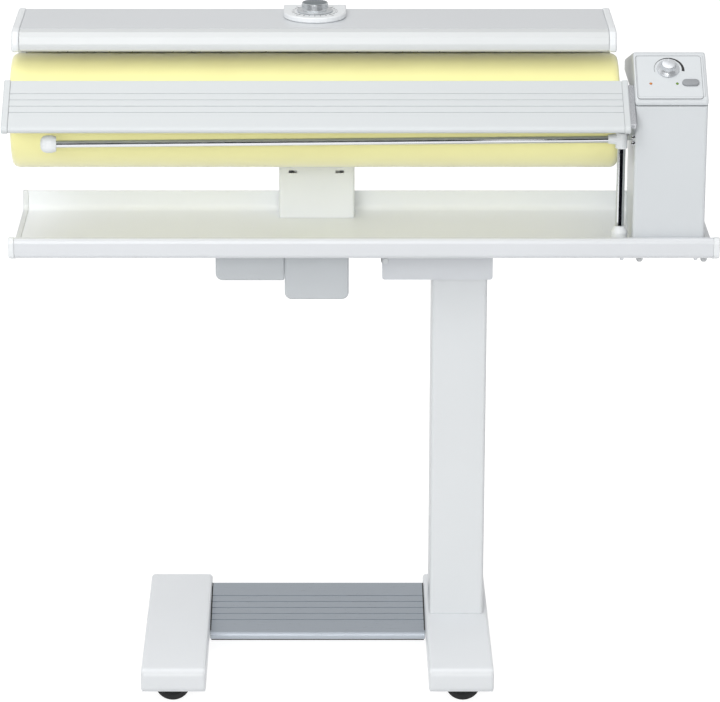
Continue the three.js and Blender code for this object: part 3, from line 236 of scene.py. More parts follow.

# %% [markdown]
# ## Colours of the pieces
# All the white parts look alike at first, but the light reaches each differently, so several have
# their own white, matched to the photo by its brightness. Painted light lightens the whites of the
# tray, the feet and the arm cover and the grey of the pivot bracket; painted shade darkens the
# white of the housing and of the finger guard, and the grey of the lift covers. The rolled lips at
# the front of the tray and of the feet are darker in the photo than the tops behind them. A lamp
# that did this would change everything else, so the colour itself steps down past a line near the
# front, as painted shade.

# %% Colours
# Several whites below are lit and shaded copies of this one, as painted light and painted shade.
WHITE = painted("white_enamel", srgb(220, 223, 225), 0.36)
# Painted shade: the finger guard's white is darker than the column's, as it tilts up into the
# light.
GUARD_SHADED_WHITE = painted("guard_shaded_enamel", srgb(212, 215, 216), 0.36)
# Painted light: the tray's white is lighter, for the light that its floor under the roller lacks.
TRAY_LIT_WHITE = painted("tray_lit_enamel", srgb(246, 249, 253), 0.3)
# Painted shade: the rolled lips in front of these lines are darker.
TRAY_FRONT, FOOT_FRONT = -0.128, -0.1885   # Y in metres, where a lip begins
STEP = 0.002                               # half the width of the change


def painted_shade_front(material, share, edge):
    """Painted shade: multiplies the colour by `share` in front of the line Y = `edge`."""
    tree = material.node_tree
    new, link = tree.nodes.new, tree.links.new
    shader = tree.nodes["Principled BSDF"]
    source = shader.inputs["Base Color"].links[0].from_socket
    place, axes = new("ShaderNodeTexCoord"), new("ShaderNodeSeparateXYZ")
    front, mix = new("ShaderNodeMapRange"), new("ShaderNodeMix")
    mix.data_type, mix.blend_type = "RGBA", "MULTIPLY"
    mix.inputs[COLOR_B].default_value = (share, share, share, 1)
    for socket, value in (("From Min", edge - STEP), ("From Max", edge + STEP),
                          ("To Min", 1.0), ("To Max", 0.0)):
        front.inputs[socket].default_value = value
    link(place.outputs["Object"], axes.inputs[0])
    link(axes.outputs["Y"], front.inputs["Value"])
    link(front.outputs[0], mix.inputs["Factor"])
    link(source, mix.inputs[COLOR_A])
    link(mix.outputs[COLOR_OUT], shader.inputs["Base Color"])


# Painted shade on the tray's front lip.
painted_shade_front(TRAY_LIT_WHITE, 0.75, TRAY_FRONT)
# Painted shade: the white of the housing, the head and the panel is darker than the column's.
HOUSING_SHADED_WHITE = painted("housing_shaded_enamel", srgb(209, 213, 216), 0.34)
# Painted light: the feet's white is lighter, so that their tops under the tray look as bright as
# the column.
FOOT_LIT_WHITE = painted("foot_lit_enamel", srgb(240, 243, 246), 0.4)
# Painted shade on the feet's front faces.
painted_shade_front(FOOT_LIT_WHITE, 0.82, FOOT_FRONT)
MOULDED_WHITE = moulded("white_plastic", srgb(229, 232, 234), 0.4)
BOARD = drawn_metal("board_enamel", srgb(207, 211, 213), 0.36, (40, 1, 1), 0.0, 0.00001, 0.006)
SILVER = painted("silver_enamel", srgb(216, 219, 222), 0.32, metallic=0.15)
# Painted light: the arm cover's white is lighter, for the shade under the roller.
COVER_LIT_WHITE = moulded("arm_cover_lit_white", srgb(244, 247, 252), 0.36)
# Painted shade: the lift covers' grey is darkened for the shadow under the tray.
GREY = moulded("grey_plastic", srgb(196, 200, 203), 0.45)
# Painted light: the pivot bracket's grey is lighter than the lift covers', for the light it lacks
# under the tray.
BRACKET_LIT_GREY = moulded("bracket_lit_grey", srgb(219, 222, 226), 0.45)
KNOB_GREY = painted("knob_lacquer", srgb(214, 217, 221), 0.24, 0.00001, 0.55)
KNOB_CHROME = painted("knob_chrome", srgb(208, 212, 215), 0.22, 0.00001, 0.72)
# Painted shade: the dark band round the edge of the panel plate.
PANEL_EDGE_SHADE = moulded("panel_edge_shade_grey", srgb(112, 115, 119), 0.5)
BUTTON_GREY = moulded("button_grey", srgb(146, 149, 153), 0.36)
# Black plastic, and also the painted shade of the screw crosses and of the treadle's end plates and
# front strip.
BLACK = moulded("black_plastic_and_painted_shade", srgb(28, 28, 30), 0.5)
RUBBER = moulded("rubber_tread", srgb(30, 30, 31), 0.75, 0.00008)
CAST = cast_metal("cast_aluminium", srgb(226, 227, 228), 0.34)
STEEL = drawn_metal("zinc_steel", srgb(176, 178, 180), 0.36, (1, 30, 1))
ANODISED = drawn_metal("anodised_extrusion", srgb(178, 185, 193), 0.34, (60, 1, 1), 0.7)
CHROME = drawn_metal("chrome_tube", srgb(222, 224, 227), 0.09, (40, 1, 1), 1.0, 0.000004, 0.02)
SATIN = drawn_metal("satin_chrome", srgb(196, 198, 202), 0.24, (1, 1, 20), 1.0)
AMBER = lens("amber_lens", srgb(226, 140, 52))
LIME = lens("lime_lens", srgb(128, 170, 62))
print("colours:", len(bpy.data.materials))

# %% [markdown]
# ## Roller jersey
# The roller wears a pale yellow knitted cotton. The stitches could be modelled, but there are
# hundreds of thousands of them and each is about a millimetre. Two crossed waves in the bump give
# the same shadow. They read the UV of the tube, in metres, so that the rows run along and round it.

# %% Jersey
BAND_PERIOD = 0.314          # a wave texture of scale 1 repeats after 2 pi / 20
STITCHES = (("X", 0.0011), ("Y", 0.0009))


def jersey():
    """Cotton jersey over padding: two crossed rows of stitches, loft and a soft sheen."""
    finish = Finish("roller_jersey", srgb(255, 249, 176), 0.92, coords="UV")
    rows = []
    for axis, pitch in STITCHES:
        wave = finish.add("ShaderNodeTexWave", wave_type="BANDS", bands_direction=axis)
        wave.inputs["Scale"].default_value = BAND_PERIOD / pitch
        wave.inputs["Distortion"].default_value = 0.6
        wave.inputs["Detail"].default_value = 1
        finish.link(finish.place, wave.inputs["Vector"])
        rows.append(wave.outputs["Fac"])
    weave = finish.add("ShaderNodeMath", operation="MULTIPLY")
    finish.link(rows[0], weave.inputs[0])
    finish.link(rows[1], weave.inputs[1])
    finish.tone(finish.noise(0.11, detail=3), 0.015)
    finish.bump(finish.noise(0.07, (2.5, 1, 1), detail=2), 0.0012, 0.35)
    finish.bump(weave.outputs[0], 0.0002, 0.4)
    finish.set("Sheen Weight", 1.0)
    finish.set("Sheen Roughness", 0.5)
    return finish.material


CLOTH = jersey()
print("finishes:", len(bpy.data.materials))

# %% [markdown]
# ## Dressing the CAD solids
# Each CAD solid keeps its mesh, which is made of flat facets. Rebuilding it smoothly would risk its
# sizes. Shading smoothly across shallow edges hides the facets and leaves real corners sharp, and a
# geometry node tree does this without touching the mesh. The feet and the forks get a fine bevel
# too, because pressed and moulded edges are never quite sharp.

# %% Smooth shading by angle, as a node group
def shading_group():
    """Shades all faces smoothly, then marks the edges above an angle as sharp."""
    group = bpy.data.node_groups.new("shade_by_angle", "GeometryNodeTree")
    group.interface.new_socket("Geometry", in_out="INPUT", socket_type="NodeSocketGeometry")
    group.interface.new_socket("Angle", in_out="INPUT", socket_type="NodeSocketFloat")
    group.interface.new_socket("Geometry", in_out="OUTPUT", socket_type="NodeSocketGeometry")
    source = group.nodes.new("NodeGroupInput")
    result = group.nodes.new("NodeGroupOutput")
    faces = group.nodes.new("GeometryNodeSetShadeSmooth")
    edges = group.nodes.new("GeometryNodeSetShadeSmooth")
    edges.domain = "EDGE"
    edges.inputs["Shade Smooth"].default_value = False
    corner = group.nodes.new("GeometryNodeInputMeshEdgeAngle")
    sharp = group.nodes.new("FunctionNodeCompare")
    sharp.operation = "GREATER_THAN"
    link = group.links.new
    link(source.outputs["Geometry"], faces.inputs["Geometry"])
    link(faces.outputs[0], edges.inputs["Geometry"])
    link(corner.outputs["Unsigned Angle"], sharp.inputs["A"])
    link(source.outputs["Angle"], sharp.inputs["B"])
    link(sharp.outputs["Result"], edges.inputs["Selection"])
    link(edges.outputs[0], result.inputs["Geometry"])
    return group


SHADING = shading_group()
SOFT_ANGLE = 38        # degrees: flatter edges than this are shaded smoothly
BEVEL_ANGLE = 42       # degrees: sharper edges than this are bevelled
print("shading group:", len(SHADING.nodes), "nodes")

# %% Dressing
def smooth(obj, angle=SOFT_ANGLE, bevel=0.0, segments=2):
    """A small bevel on the hard edges, then smooth shading up to an angle."""
    if bevel:
        modifier = obj.modifiers.new("bevel", "BEVEL")
        modifier.width = bevel
        modifier.segments = segments
        modifier.limit_method = "ANGLE"
        modifier.angle_limit = math.radians(BEVEL_ANGLE)
        modifier.use_clamp_overlap = True
    modifier = obj.modifiers.new("shading", "NODES")
    modifier.node_group = SHADING
    modifier["Socket_1"] = math.radians(angle)


def dress(names, material, bevel=0.0):
    """Gives the named solids a finish, with the shading and perhaps a bevel."""
    for name in names.split():
        obj = nodes[name]
        obj.data.materials.clear()
        obj.data.materials.append(material)
        smooth(obj, bevel=bevel)


print("dressing ready, smooth below", SOFT_ANGLE, "degrees")

# %% [markdown]
# ## Which solid wears what
# Sheet metal is painted, ends and covers are moulded, the laundry rail is chromed, and the working
# parts inside are bare steel, cast aluminium or black. What the photo doesn't show is a guess at
# what such machines use.

# %% Finishes of the CAD solids
dress("left_foot right_foot", FOOT_LIT_WHITE, 0.8 * MM)
dress("column", WHITE)
dress("drive_housing control_head", HOUSING_SHADED_WHITE)
dress("laundry_tray", TRAY_LIT_WHITE)
dress("tray_end_cap_left tray_end_cap_right cover_cap_left cover_cap_right", MOULDED_WHITE)
dress("rail_socket rail_tee rail_end_cap fold_pivot_pin", MOULDED_WHITE)
dress("finger_guard", GUARD_SHADED_WHITE)
dress("feed_board feed_board_cap_left feed_board_cap_right", BOARD)
dress("shoe_cover", SILVER)
dress("control_panel", HOUSING_SHADED_WHITE)
dress("dial_plate", MOULDED_WHITE)
dress("pivot_bracket", BRACKET_LIT_GREY)
dress("lift_motor_cover lift_gear_cover", GREY)
dress("rear_arm_cover", COVER_LIT_WHITE)
dress("foot_treadle", ANODISED)
dress("base_crossmember unit_carrier bearing_block drive_motor", STEEL)
dress("feed_board_bracket", SATIN)
dress("lift_gearmotor lift_crank motor_pulley", STEEL)
dress("heater_shoe shoe_arm roller_drum roller_pulley", CAST)
dress("rail_post rail_bar", CHROME)
dress("treadle_switch fold_lock_pin thermostat", BLACK)
dress("drive_belt", RUBBER)
dress(" ".join(n for n in nodes if n.endswith("_caster_fork")), BLACK, 0.5 * MM)
print("dressed:", sum(1 for n in nodes.values() if n.modifiers), "solids")

# %% [markdown]
# ## Mesh tools
# A new piece could be made at the origin and moved, but a finished piece has to sit there unturned,
# with its place in its mesh. So each piece is drawn in millimetres on a small frame of its own, and
# one matrix puts its points where they belong.

# %% Local frames
def local(origin, across=(1, 0, 0), up=(0, 1, 0)):
    """A matrix from millimetres on a local frame to metres in the scene."""
    x = Vector(across).normalized()
    z = x.cross(Vector(up)).normalized()
    y = z.cross(x)
    turn = Matrix((x, y, z)).transposed().to_4x4()
    return Matrix.Translation(Vector(origin) * MM) @ turn @ Matrix.Scale(MM, 4)


def made(name, mesh, material, body, stands_for=()):
    """Puts a finished mesh into the scene as a piece that rides on a body.

    `stands_for` names the CAD solids that the piece is shown in place of."""
    mesh.materials.clear()
    mesh.materials.append(material)
    obj = bpy.data.objects.new(name, mesh)
    bpy.context.scene.collection.objects.link(obj)
    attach(obj, body)
    if stands_for:
        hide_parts(*stands_for)
    return obj


def baked(mesh, angle=SOFT_ANGLE, bevel=0.0, segments=2):
    """The mesh with its bevel and shading applied."""
    holder = bpy.data.objects.new("holder", mesh)
    bpy.context.scene.collection.objects.link(holder)
    smooth(holder, angle, bevel, segments)
    bpy.context.view_layer.update()
    result = bpy.data.meshes.new_from_object(
        holder.evaluated_get(bpy.context.evaluated_depsgraph_get()))
    bpy.data.objects.remove(holder)
    return result


print("local frames ready")

# %% [markdown]
# ## Turned and pushed shapes
# Knobs, wheels and screw heads are turned parts, so one profile turned about an axis makes each of
# them. Buttons, marks and lips have one outline from end to end, so that outline is pushed. Both
# close their shape and let Blender point the faces outwards.

# %% Revolve, push and join
def revolved(name, profile, matrix, sides=64):
    """Turns (radius, height) points about the local Z axis. UV is in metres."""
    shape = bmesh.new()
    uv = shape.loops.layers.uv.new("UVMap")
    rings = []
    for radius, height in profile:
        if radius == 0:
            rings.append([shape.verts.new((0, 0, height))] * sides)
            continue
        rings.append([shape.verts.new((radius * math.cos(2 * math.pi * i / sides),
                                       radius * math.sin(2 * math.pi * i / sides), height))
                      for i in range(sides)])
    run = 0.0
    for low, high, (r0, h0), (r1, h1) in zip(rings, rings[1:], profile, profile[1:]):
        step = math.hypot(r1 - r0, h1 - h0)
        size = 2 * math.pi * max(r0, r1) / sides
        for i in range(sides):
            j = (i + 1) % sides
            corners = [(low[i], i, 0), (low[j], i + 1, 0), (high[j], i + 1, 1), (high[i], i, 1)]
            kept = [c for k, c in enumerate(corners) if c[0] not in [d[0] for d in corners[:k]]]
            if len(kept) < 3:
                continue
            face = shape.faces.new([c[0] for c in kept])
            for loop, (_, along, side) in zip(face.loops, kept):
                loop[uv].uv = ((run + step * side) * MM, along * size * MM)
        run += step
    return meshed(name, shape, matrix)


def meshed(name, shape, matrix):
    """A mesh from the shape, with its faces outwards and its points in place."""
    bmesh.ops.recalc_face_normals(shape, faces=shape.faces)
    shape.transform(matrix)
    mesh = bpy.data.meshes.new(name)
    shape.to_mesh(mesh)
    shape.free()
    return mesh


def pushed(name, outline, low, high, matrix):
    """Pushes a closed outline from low to high along the local Z axis."""
    shape = bmesh.new()
    bottom = [shape.verts.new((x, y, low)) for x, y in outline]
    top = [shape.verts.new((x, y, high)) for x, y in outline]
    shape.faces.new(list(reversed(bottom)))
    shape.faces.new(top)
    for i, vertex in enumerate(bottom):
        j = (i + 1) % len(bottom)
        shape.faces.new((vertex, bottom[j], top[j], top[i]))
    return meshed(name, shape, matrix)


def rounded(width, height, radius, steps=8, centre=(0, 0)):
    """Outline of a rectangle with round corners."""
    points = []
    for quarter in range(4):
        sx = 1 if quarter in (0, 3) else -1
        sy = 1 if quarter in (0, 1) else -1
        for i in range(steps + 1):
            angle = math.pi / 2 * (quarter + i / steps)
            points.append((centre[0] + sx * (width / 2 - radius) + radius * math.cos(angle),
                           centre[1] + sy * (height / 2 - radius) + radius * math.sin(angle)))
    return points


def joined(name, meshes):
    """One mesh from several."""
    shape = bmesh.new()
    for mesh in meshes:
        shape.from_mesh(mesh)
    result = bpy.data.meshes.new(name)
    shape.to_mesh(result)
    shape.free()
    return result


print("shape tools ready")

# %% [markdown]
# ## A ring of equal marks
# A dial has equal marks round it, and a grip has equal ribs. A loop could copy one mark, but a
# geometry node tree says the rule itself: so many points on an arc, one block on each, turned to
# face the middle. Its inputs are the count, the radius, the angles and the block's size.

# %% The ring as geometry nodes
def ring_group():
    """Count blocks of a given size stand on an arc and face its middle."""
    group = bpy.data.node_groups.new("ring_of_marks", "GeometryNodeTree")
    for name, kind in (("Count", "Int"), ("Radius", "Float"), ("Start", "Float"),
                       ("Sweep", "Float"), ("Size", "Vector"), ("Material", "Material")):
        group.interface.new_socket(name, in_out="INPUT", socket_type="NodeSocket" + kind)
    group.interface.new_socket("Geometry", in_out="OUTPUT", socket_type="NodeSocketGeometry")
    new, link = group.nodes.new, group.links.new
    source, result = new("NodeGroupInput"), new("NodeGroupOutput")

    def maths(operation, a, b):
        node = new("ShaderNodeMath")
        node.operation = operation
        for socket, value in zip(node.inputs, (a, b)):
            if isinstance(value, (int, float)):
                socket.default_value = value
            elif value is not None:
                link(value, socket)
        return node.outputs[0]

    line, index = new("GeometryNodeMeshLine"), new("GeometryNodeInputIndex")
    line.inputs["Offset"].default_value = (0, 0, 0)
    link(source.outputs["Count"], line.inputs["Count"])
    steps = maths("MAXIMUM", maths("SUBTRACT", source.outputs["Count"], 1), 1)
    share = maths("DIVIDE", index.outputs[0], steps)
    angle = maths("ADD", source.outputs["Start"],
                  maths("MULTIPLY", share, source.outputs["Sweep"]))
    spot, turn = new("ShaderNodeCombineXYZ"), new("ShaderNodeCombineXYZ")
    link(maths("MULTIPLY", maths("COSINE", angle, None), source.outputs["Radius"]),
         spot.inputs["X"])
    link(maths("MULTIPLY", maths("SINE", angle, None), source.outputs["Radius"]),
         spot.inputs["Y"])
    link(angle, turn.inputs["Z"])
    moved, mark = new("GeometryNodeSetPosition"), new("GeometryNodeMeshCube")
    link(line.outputs["Mesh"], moved.inputs["Geometry"])
    link(spot.outputs[0], moved.inputs["Position"])
    link(source.outputs["Size"], mark.inputs["Size"])
    copies, real = new("GeometryNodeInstanceOnPoints"), new("GeometryNodeRealizeInstances")
    link(moved.outputs[0], copies.inputs["Points"])
    link(mark.outputs["Mesh"], copies.inputs["Instance"])
    link(turn.outputs[0], copies.inputs["Rotation"])
    link(copies.outputs[0], real.inputs["Geometry"])
    coat = new("GeometryNodeSetMaterial")
    link(real.outputs[0], coat.inputs["Geometry"])
    link(source.outputs["Material"], coat.inputs["Material"])
    link(coat.outputs[0], result.inputs[0])
    return group


RING = ring_group()
print("ring group:", len(RING.nodes), "nodes")

# %% The ring as a mesh
def ring_of(name, matrix, material, count, radius, size, start=0.0, sweep=360.0, closed=True):
    """The ring as a plain mesh on the given frame, in millimetres and degrees."""
    if closed:
        sweep = sweep * (count - 1) / count
    holder = bpy.data.objects.new("ring_holder", bpy.data.meshes.new("ring_holder"))
    bpy.context.scene.collection.objects.link(holder)
    modifier = holder.modifiers.new("ring", "NODES")
    modifier.node_group = RING
    values = {"Count": count, "Radius": float(radius), "Start": math.radians(start),
              "Sweep": math.radians(sweep), "Size": size, "Material": material}
    for item in RING.interface.items_tree:
        if item.in_out == "INPUT":
            modifier[item.identifier] = values[item.name]
    bpy.context.view_layer.update()
    mesh = bpy.data.meshes.new_from_object(
        holder.evaluated_get(bpy.context.evaluated_depsgraph_get()))
    bpy.data.objects.remove(holder)
    mesh.transform(matrix)
    mesh.name = name
    return mesh


print("ring of marks ready")

# %% [markdown]
# ## Roller
# The padding makes the roller soft, so its cloth has rounded ends that tuck in over the drum, and a
# surface that is never quite even. A plain cylinder would look like a pipe. The tube is turned from
# one profile that comes out round the left end, runs along the length with slow waves of a sixth of
# a millimetre, and goes in again at the right.

# %% Roller cloth
ROLLER_AXIS = (-14.5, 834)     # Y and Z
ROLLER_ENDS = (-489, 357)      # X
ROLLER_RADIUS = 80
DRUM_RADIUS = 74
SOFT_DEPTH, SOFT_REACH = 7.0, 11.0     # the rounded end, inwards and along
HEM = ((0.4, 2.2), (1.5, 0.8))         # above the drum, and in from the end
STATIONS = 84                          # steps along the length
UNEVEN, LOWERED = 0.16, 0.18           # the waves, and what keeps them under the radius
CLOTH_SIDES, CLOTH_ANGLE = 160, 50


def roller_cloth():
    """The tube, drawn on its own axis from the left end to the right."""
    left, right = ROLLER_ENDS
    quarter = [math.radians(a) for a in range(0, 91, 10)]
    rise = [(ROLLER_RADIUS - SOFT_DEPTH + SOFT_DEPTH * math.sin(a),
             SOFT_REACH - SOFT_REACH * math.cos(a)) for a in quarter]
    profile = [(DRUM_RADIUS + up, left + inwards) for up, inwards in HEM]
    profile += [(radius, left + inwards) for radius, inwards in rise]
    middle = right - left - 2 * SOFT_REACH
    for i in range(1, STATIONS):
        wave = UNEVEN * math.sin(i * 0.9) * math.sin(i * 0.37)
        profile.append((ROLLER_RADIUS - LOWERED + wave,
                        left + SOFT_REACH + middle * i / STATIONS))
    profile += [(radius, right - inwards) for radius, inwards in reversed(rise)]
    profile += [(DRUM_RADIUS + up, right - inwards) for up, inwards in reversed(HEM)]
    axis = local((0, *ROLLER_AXIS), across=(0, 1, 0), up=(0, 0, 1))
    mesh = revolved("roller_jersey", profile + [profile[0]], axis, CLOTH_SIDES)
    return baked(mesh, CLOTH_ANGLE)


jersey_piece = made("roller_jersey", roller_cloth(), CLOTH, "roller", ("roller_cloth",))
print("roller cloth:", len(jersey_piece.data.polygons), "faces")

# %% [markdown]
# ## Casters
# Each caster has two narrow wheels on one axle, with the fork between them. Two separate turned
# discs would do, but one profile that runs over the first disc, down to the axle and over the
# second keeps the pair together as they turn together.

# %% Wheels
WHEEL_RADIUS = 25
WHEEL_SIDES = 72
WHEELS = {"front_left": (-270, -153.5), "rear_left": (-270, 153.5),
          "front_right": (146, -153.5), "rear_right": (146, 153.5)}


def twin_wheel(name, x, y):
    """Hub, dished side, crowned tread and inner side of one disc, then the same mirrored."""
    axle = local((x, y, WHEEL_RADIUS), across=(1, 0, 0), up=(0, 0, 1))
    half = [(0, 11), (5, 11), (6, 10.2), (15, 9.4), (16.5, 10.6), (18, 11), (22.6, 11),
            (24.2, 10.3), (25, 8.6), (25, 7.2), (24.2, 5.6), (22.6, 5), (8, 5), (6.5, 4.6)]
    profile = half + [(radius, -side) for radius, side in reversed(half)]
    return revolved(name, profile, axle, WHEEL_SIDES)


for corner, (x, y) in WHEELS.items():
    wheel_name = corner + "_wheel_tread"
    made(wheel_name, baked(twin_wheel(wheel_name, x, y), 35), RUBBER, corner + "_wheel",
         (corner + "_caster_wheel",))
print("wheels:", len(WHEELS))

# %% [markdown]
# ## Temperature dial
# A bright knob with a darker top stands on a light plate, with a ring of small marks round it. The
# knob is turned from one profile: a low skirt, then a straight grip. It gets fine ribs, which are a
# guess, because the photo is too small to show whether its grip is ribbed. The marks are plain
# strokes on the plate, so they stay with the shoe cover while the knob turns.

# %% Temperature knob and its marks
DIAL = (-66, 27)        # X and Y
DIAL_TOP = 966.5        # Z of the plate's top
RIBS, RIB_RADIUS, RIB_MIDDLE, RIB_SIZE = 90, 18.22, 8.6, (0.5, 0.62, 5.6)
MARK_START, MARK_SWEEP = 135, 270                 # degrees
FINE_MARKS = dict(count=19, radius=30.5, size=(4.2, 0.9, 0.16))
LONG_MARKS = dict(count=4, radius=32.5, size=(8.2, 1.4, 0.16))
DISC_GREY = moulded("disc_grey", srgb(104, 112, 116), 0.4)
dial_frame = local((*DIAL, DIAL_TOP))


def temperature_knob():
    """Skirt and grip in one turned shape, with the ribs round the grip."""
    body = revolved("knob", [
        (0, 0.4), (24.6, 0.4), (25.4, 1.0), (25.5, 2.0), (24.4, 2.7), (20.8, 3.2), (19.2, 3.8),
        (18.6, 4.8), (18.3, 6.0), (18.3, 12.0), (17.9, 12.7), (17.2, 12.95), (16.9, 12.6),
        (0, 12.6)], dial_frame, 96)
    grip = ring_of("grip", dial_frame @ Matrix.Translation((0, 0, RIB_MIDDLE)), KNOB_CHROME,
                   RIBS, RIB_RADIUS, RIB_SIZE)
    return joined("temperature_knob_body", [baked(body, 32), grip])


made("temperature_knob_body", temperature_knob(), KNOB_CHROME, "temperature_knob",
     ("temperature_knob",))
disc = revolved("temperature_knob_disc", [
    (0, 12.65), (0, 13.2), (16.2, 13.2), (16.7, 13.0), (16.8, 12.65), (0, 12.65)], dial_frame)
made("temperature_knob_disc", baked(disc, 30), DISC_GREY, "temperature_knob")
plate = dial_frame @ Matrix.Translation((0, 0, 0.08))
marks = [ring_of(name, plate, BLACK, start=MARK_START, sweep=MARK_SWEEP, closed=False, **kind)
         for name, kind in (("marks", FINE_MARKS), ("long_marks", LONG_MARKS))]
made("dial_marks", joined("dial_marks", marks), BLACK, "shoe")
print("dial:", RIBS, "ribs,", FINE_MARKS["count"] + LONG_MARKS["count"], "marks")

# %% [markdown]
# ## Control panel
# The controls sit on a sloping face: a knob for the speed with a printed wedge round it, an oval
# button and two lamps. Each could be placed by its own X, Y and Z, but on a slope the last two
# change together. A local frame that lies on the face needs only two numbers: across from its
# middle, and up the slope from its foot.

# %% Panel frame
SLOPE = math.atan2(50, 69)      # rise and run of the face
HOUSING_MIDDLE = 424.75
PANEL_FOOT = (-126.5, 878)      # Y and Z of the lower edge
PRINT = (0.02, 0.16)            # a print's underside and top above the face
panel = local((HOUSING_MIDDLE, *PANEL_FOOT), up=(0, math.cos(SLOPE), math.sin(SLOPE)))


def on_panel(across, up, high=0.0):
    """The frame of a spot on the face."""
    return panel @ Matrix.Translation((across, up, high))


print("panel slope:", round(math.degrees(SLOPE), 1), "degrees")

# %% [markdown]
# ## Speed knob and its scale
# The knob flares into a skirt like a bell, with a short pointer on its top. Round it a black wedge
# grows thicker towards full speed. It could be an image on the face, but a thin pushed shape keeps
# its edge sharp at any size.

# %% Speed knob
SPEED = (-3, 54)                     # across and up the panel
SCALE_RADIUS = 18.9
SCALE_START, SCALE_SWEEP = 196, -206   # degrees
SCALE_WIDTH, SCALE_GROWTH, SCALE_POWER = 0.4, 3.6, 1.8
SCALE_STEPS = 48


def speed_knob():
    """A bell-shaped skirt and grip, with a pointer on top."""
    body = revolved("speed", [
        (0, 0.4), (15.0, 0.4), (15.5, 1.0), (15.2, 1.9), (13.2, 3.3), (11.6, 4.6), (10.2, 6.2),
        (9.7, 8.2), (9.5, 11.0), (8.8, 11.9), (7.8, 12.2), (0, 12.2)], on_panel(*SPEED), 96)
    pointer = pushed("pointer", rounded(1.2, 6.2, 0.5, 3, (0, 5.4)), 12.0, 12.55, on_panel(*SPEED))
    return joined("speed_knob_body", [baked(body, 30), pointer])


def crescent():
    """A printed wedge that widens round the knob from its lower left to its right."""
    inner, outer = [], []
    for i in range(SCALE_STEPS + 1):
        share = i / SCALE_STEPS
        angle = math.radians(SCALE_START + SCALE_SWEEP * share)
        width = SCALE_WIDTH + SCALE_GROWTH * share ** SCALE_POWER
        inner.append((SCALE_RADIUS * math.cos(angle), SCALE_RADIUS * math.sin(angle)))
        outer.append(((SCALE_RADIUS + width) * math.cos(angle),
                      (SCALE_RADIUS + width) * math.sin(angle)))
    return pushed("speed_scale", inner + outer[::-1], *PRINT, on_panel(*SPEED))


made("speed_knob_body", speed_knob(), KNOB_GREY, "speed_knob", ("speed_knob",))
made("speed_scale", crescent(), BLACK, "unit")
print("speed scale:", SCALE_STEPS, "steps")

# %% [markdown]
# ## Button and lamps
# The grey button is an oval cap that stands proud and travels inwards. Its edge is rounded by a
# bevel, since a finger rests on it. The two lamps are small clear domes, one amber and one green,
# and a turned profile with a shallow curve makes both.

# %% Button and lamps
BUTTON, LAMP_ROW = (27, 29), 28      # across and up the panel
BUTTON_SIZE = (23, 11, 5.4)          # width, height and corner radius
BUTTON_LOW, BUTTON_HIGH = -5.5, 3.0
DOME = [(0, -1.8), (1.9, -1.8), (1.9, 0.2), (1.7, 0.5), (1.2, 0.7), (0.6, 0.8), (0, 0.82)]
button = pushed("power_button_cap", rounded(*BUTTON_SIZE, 10), BUTTON_LOW, BUTTON_HIGH,
                on_panel(*BUTTON))
made("power_button_cap", baked(button, 40, 1.1 * MM, 4), BUTTON_GREY, "power_button",
     ("power_button",))
LAMPS = (("heat_lamp", -28, AMBER, "orange_lens"), ("ready_lamp", 8.5, LIME, "green_lens"))
for name, across, look, slot in LAMPS:
    dome = revolved(name, DOME, on_panel(across, LAMP_ROW), 32)
    made(name + "_lens", baked(dome, 60), look, "unit", (name,))
print("lamps:", len(LAMPS))

# %% [markdown]
# ## The line round the panel
# A thin dark line with round corners frames the controls: painted shade along the edge of the panel
# plate. Four narrow blocks would meet in hard corners, so it is a closed band instead: two
# round-cornered outlines, one inside the other, joined into a strip. Its lower run is a little
# wider, as the line in the photo is, for the plate's shadow at its foot.

# %% Panel line
def band(name, outer, inner, low, high, matrix):
    """A flat strip between two outlines with the same number of points."""
    shape = bmesh.new()
    rows = [[shape.verts.new((x, y, z)) for x, y in outline]
            for outline, z in ((outer, low), (outer, high), (inner, high), (inner, low))]
    count = len(outer)
    for a, b in zip(rows, rows[1:] + rows[:1]):
        for i in range(count):
            j = (i + 1) % count
            shape.faces.new((a[i], a[j], b[j], b[i]))
    return meshed(name, shape, matrix)


LINE_WIDTH, LINE_HEIGHT = 91, 78
LINE_MIDDLE = (-2.2, 39)
LINE_LOW, LINE_HIGH = 0.03, 0.12         # its underside and top above the face
LINE_SIDES, LINE_ENDS = 1.0, 1.5         # both sides together, top and foot together
# The lifted opening widens the band's foot, as painted shade for the plate's shadow.
LINE_LIFT = 0.35                         # lifts the opening, so the foot is wider
line_outside = rounded(LINE_WIDTH, LINE_HEIGHT, 4.5)
line_inside = rounded(LINE_WIDTH - LINE_SIDES, LINE_HEIGHT - LINE_ENDS, 4.2,
                      centre=(0, LINE_LIFT))
made("panel_edge_shade", band("panel_edge_shade", line_outside, line_inside, LINE_LOW, LINE_HIGH,
                        on_panel(*LINE_MIDDLE)), PANEL_EDGE_SHADE, "unit")
print("panel line:", LINE_WIDTH, "by", LINE_HEIGHT, "mm")

# %% [markdown]
# ## Screws and small hardware
# Small heads show under the tray's lip, on the bracket of the feed board and on a lift cover. They
# are a few pixels wide in the photo, so that they are screws is a guess. A head could have its
# cross cut in, but a dark cross standing a hair above it looks the same and keeps the mesh light:
# the black cross is painted shade, for the shadow in the cut.
# One turned profile at several sizes serves all of them.

# %% Screw heads
HEAD_SIDES = 28
HEAD_LIFT = 0.05       # the head's underside above the surface
CROSS_SUNK, CROSS_PROUD = 0.05, 0.06


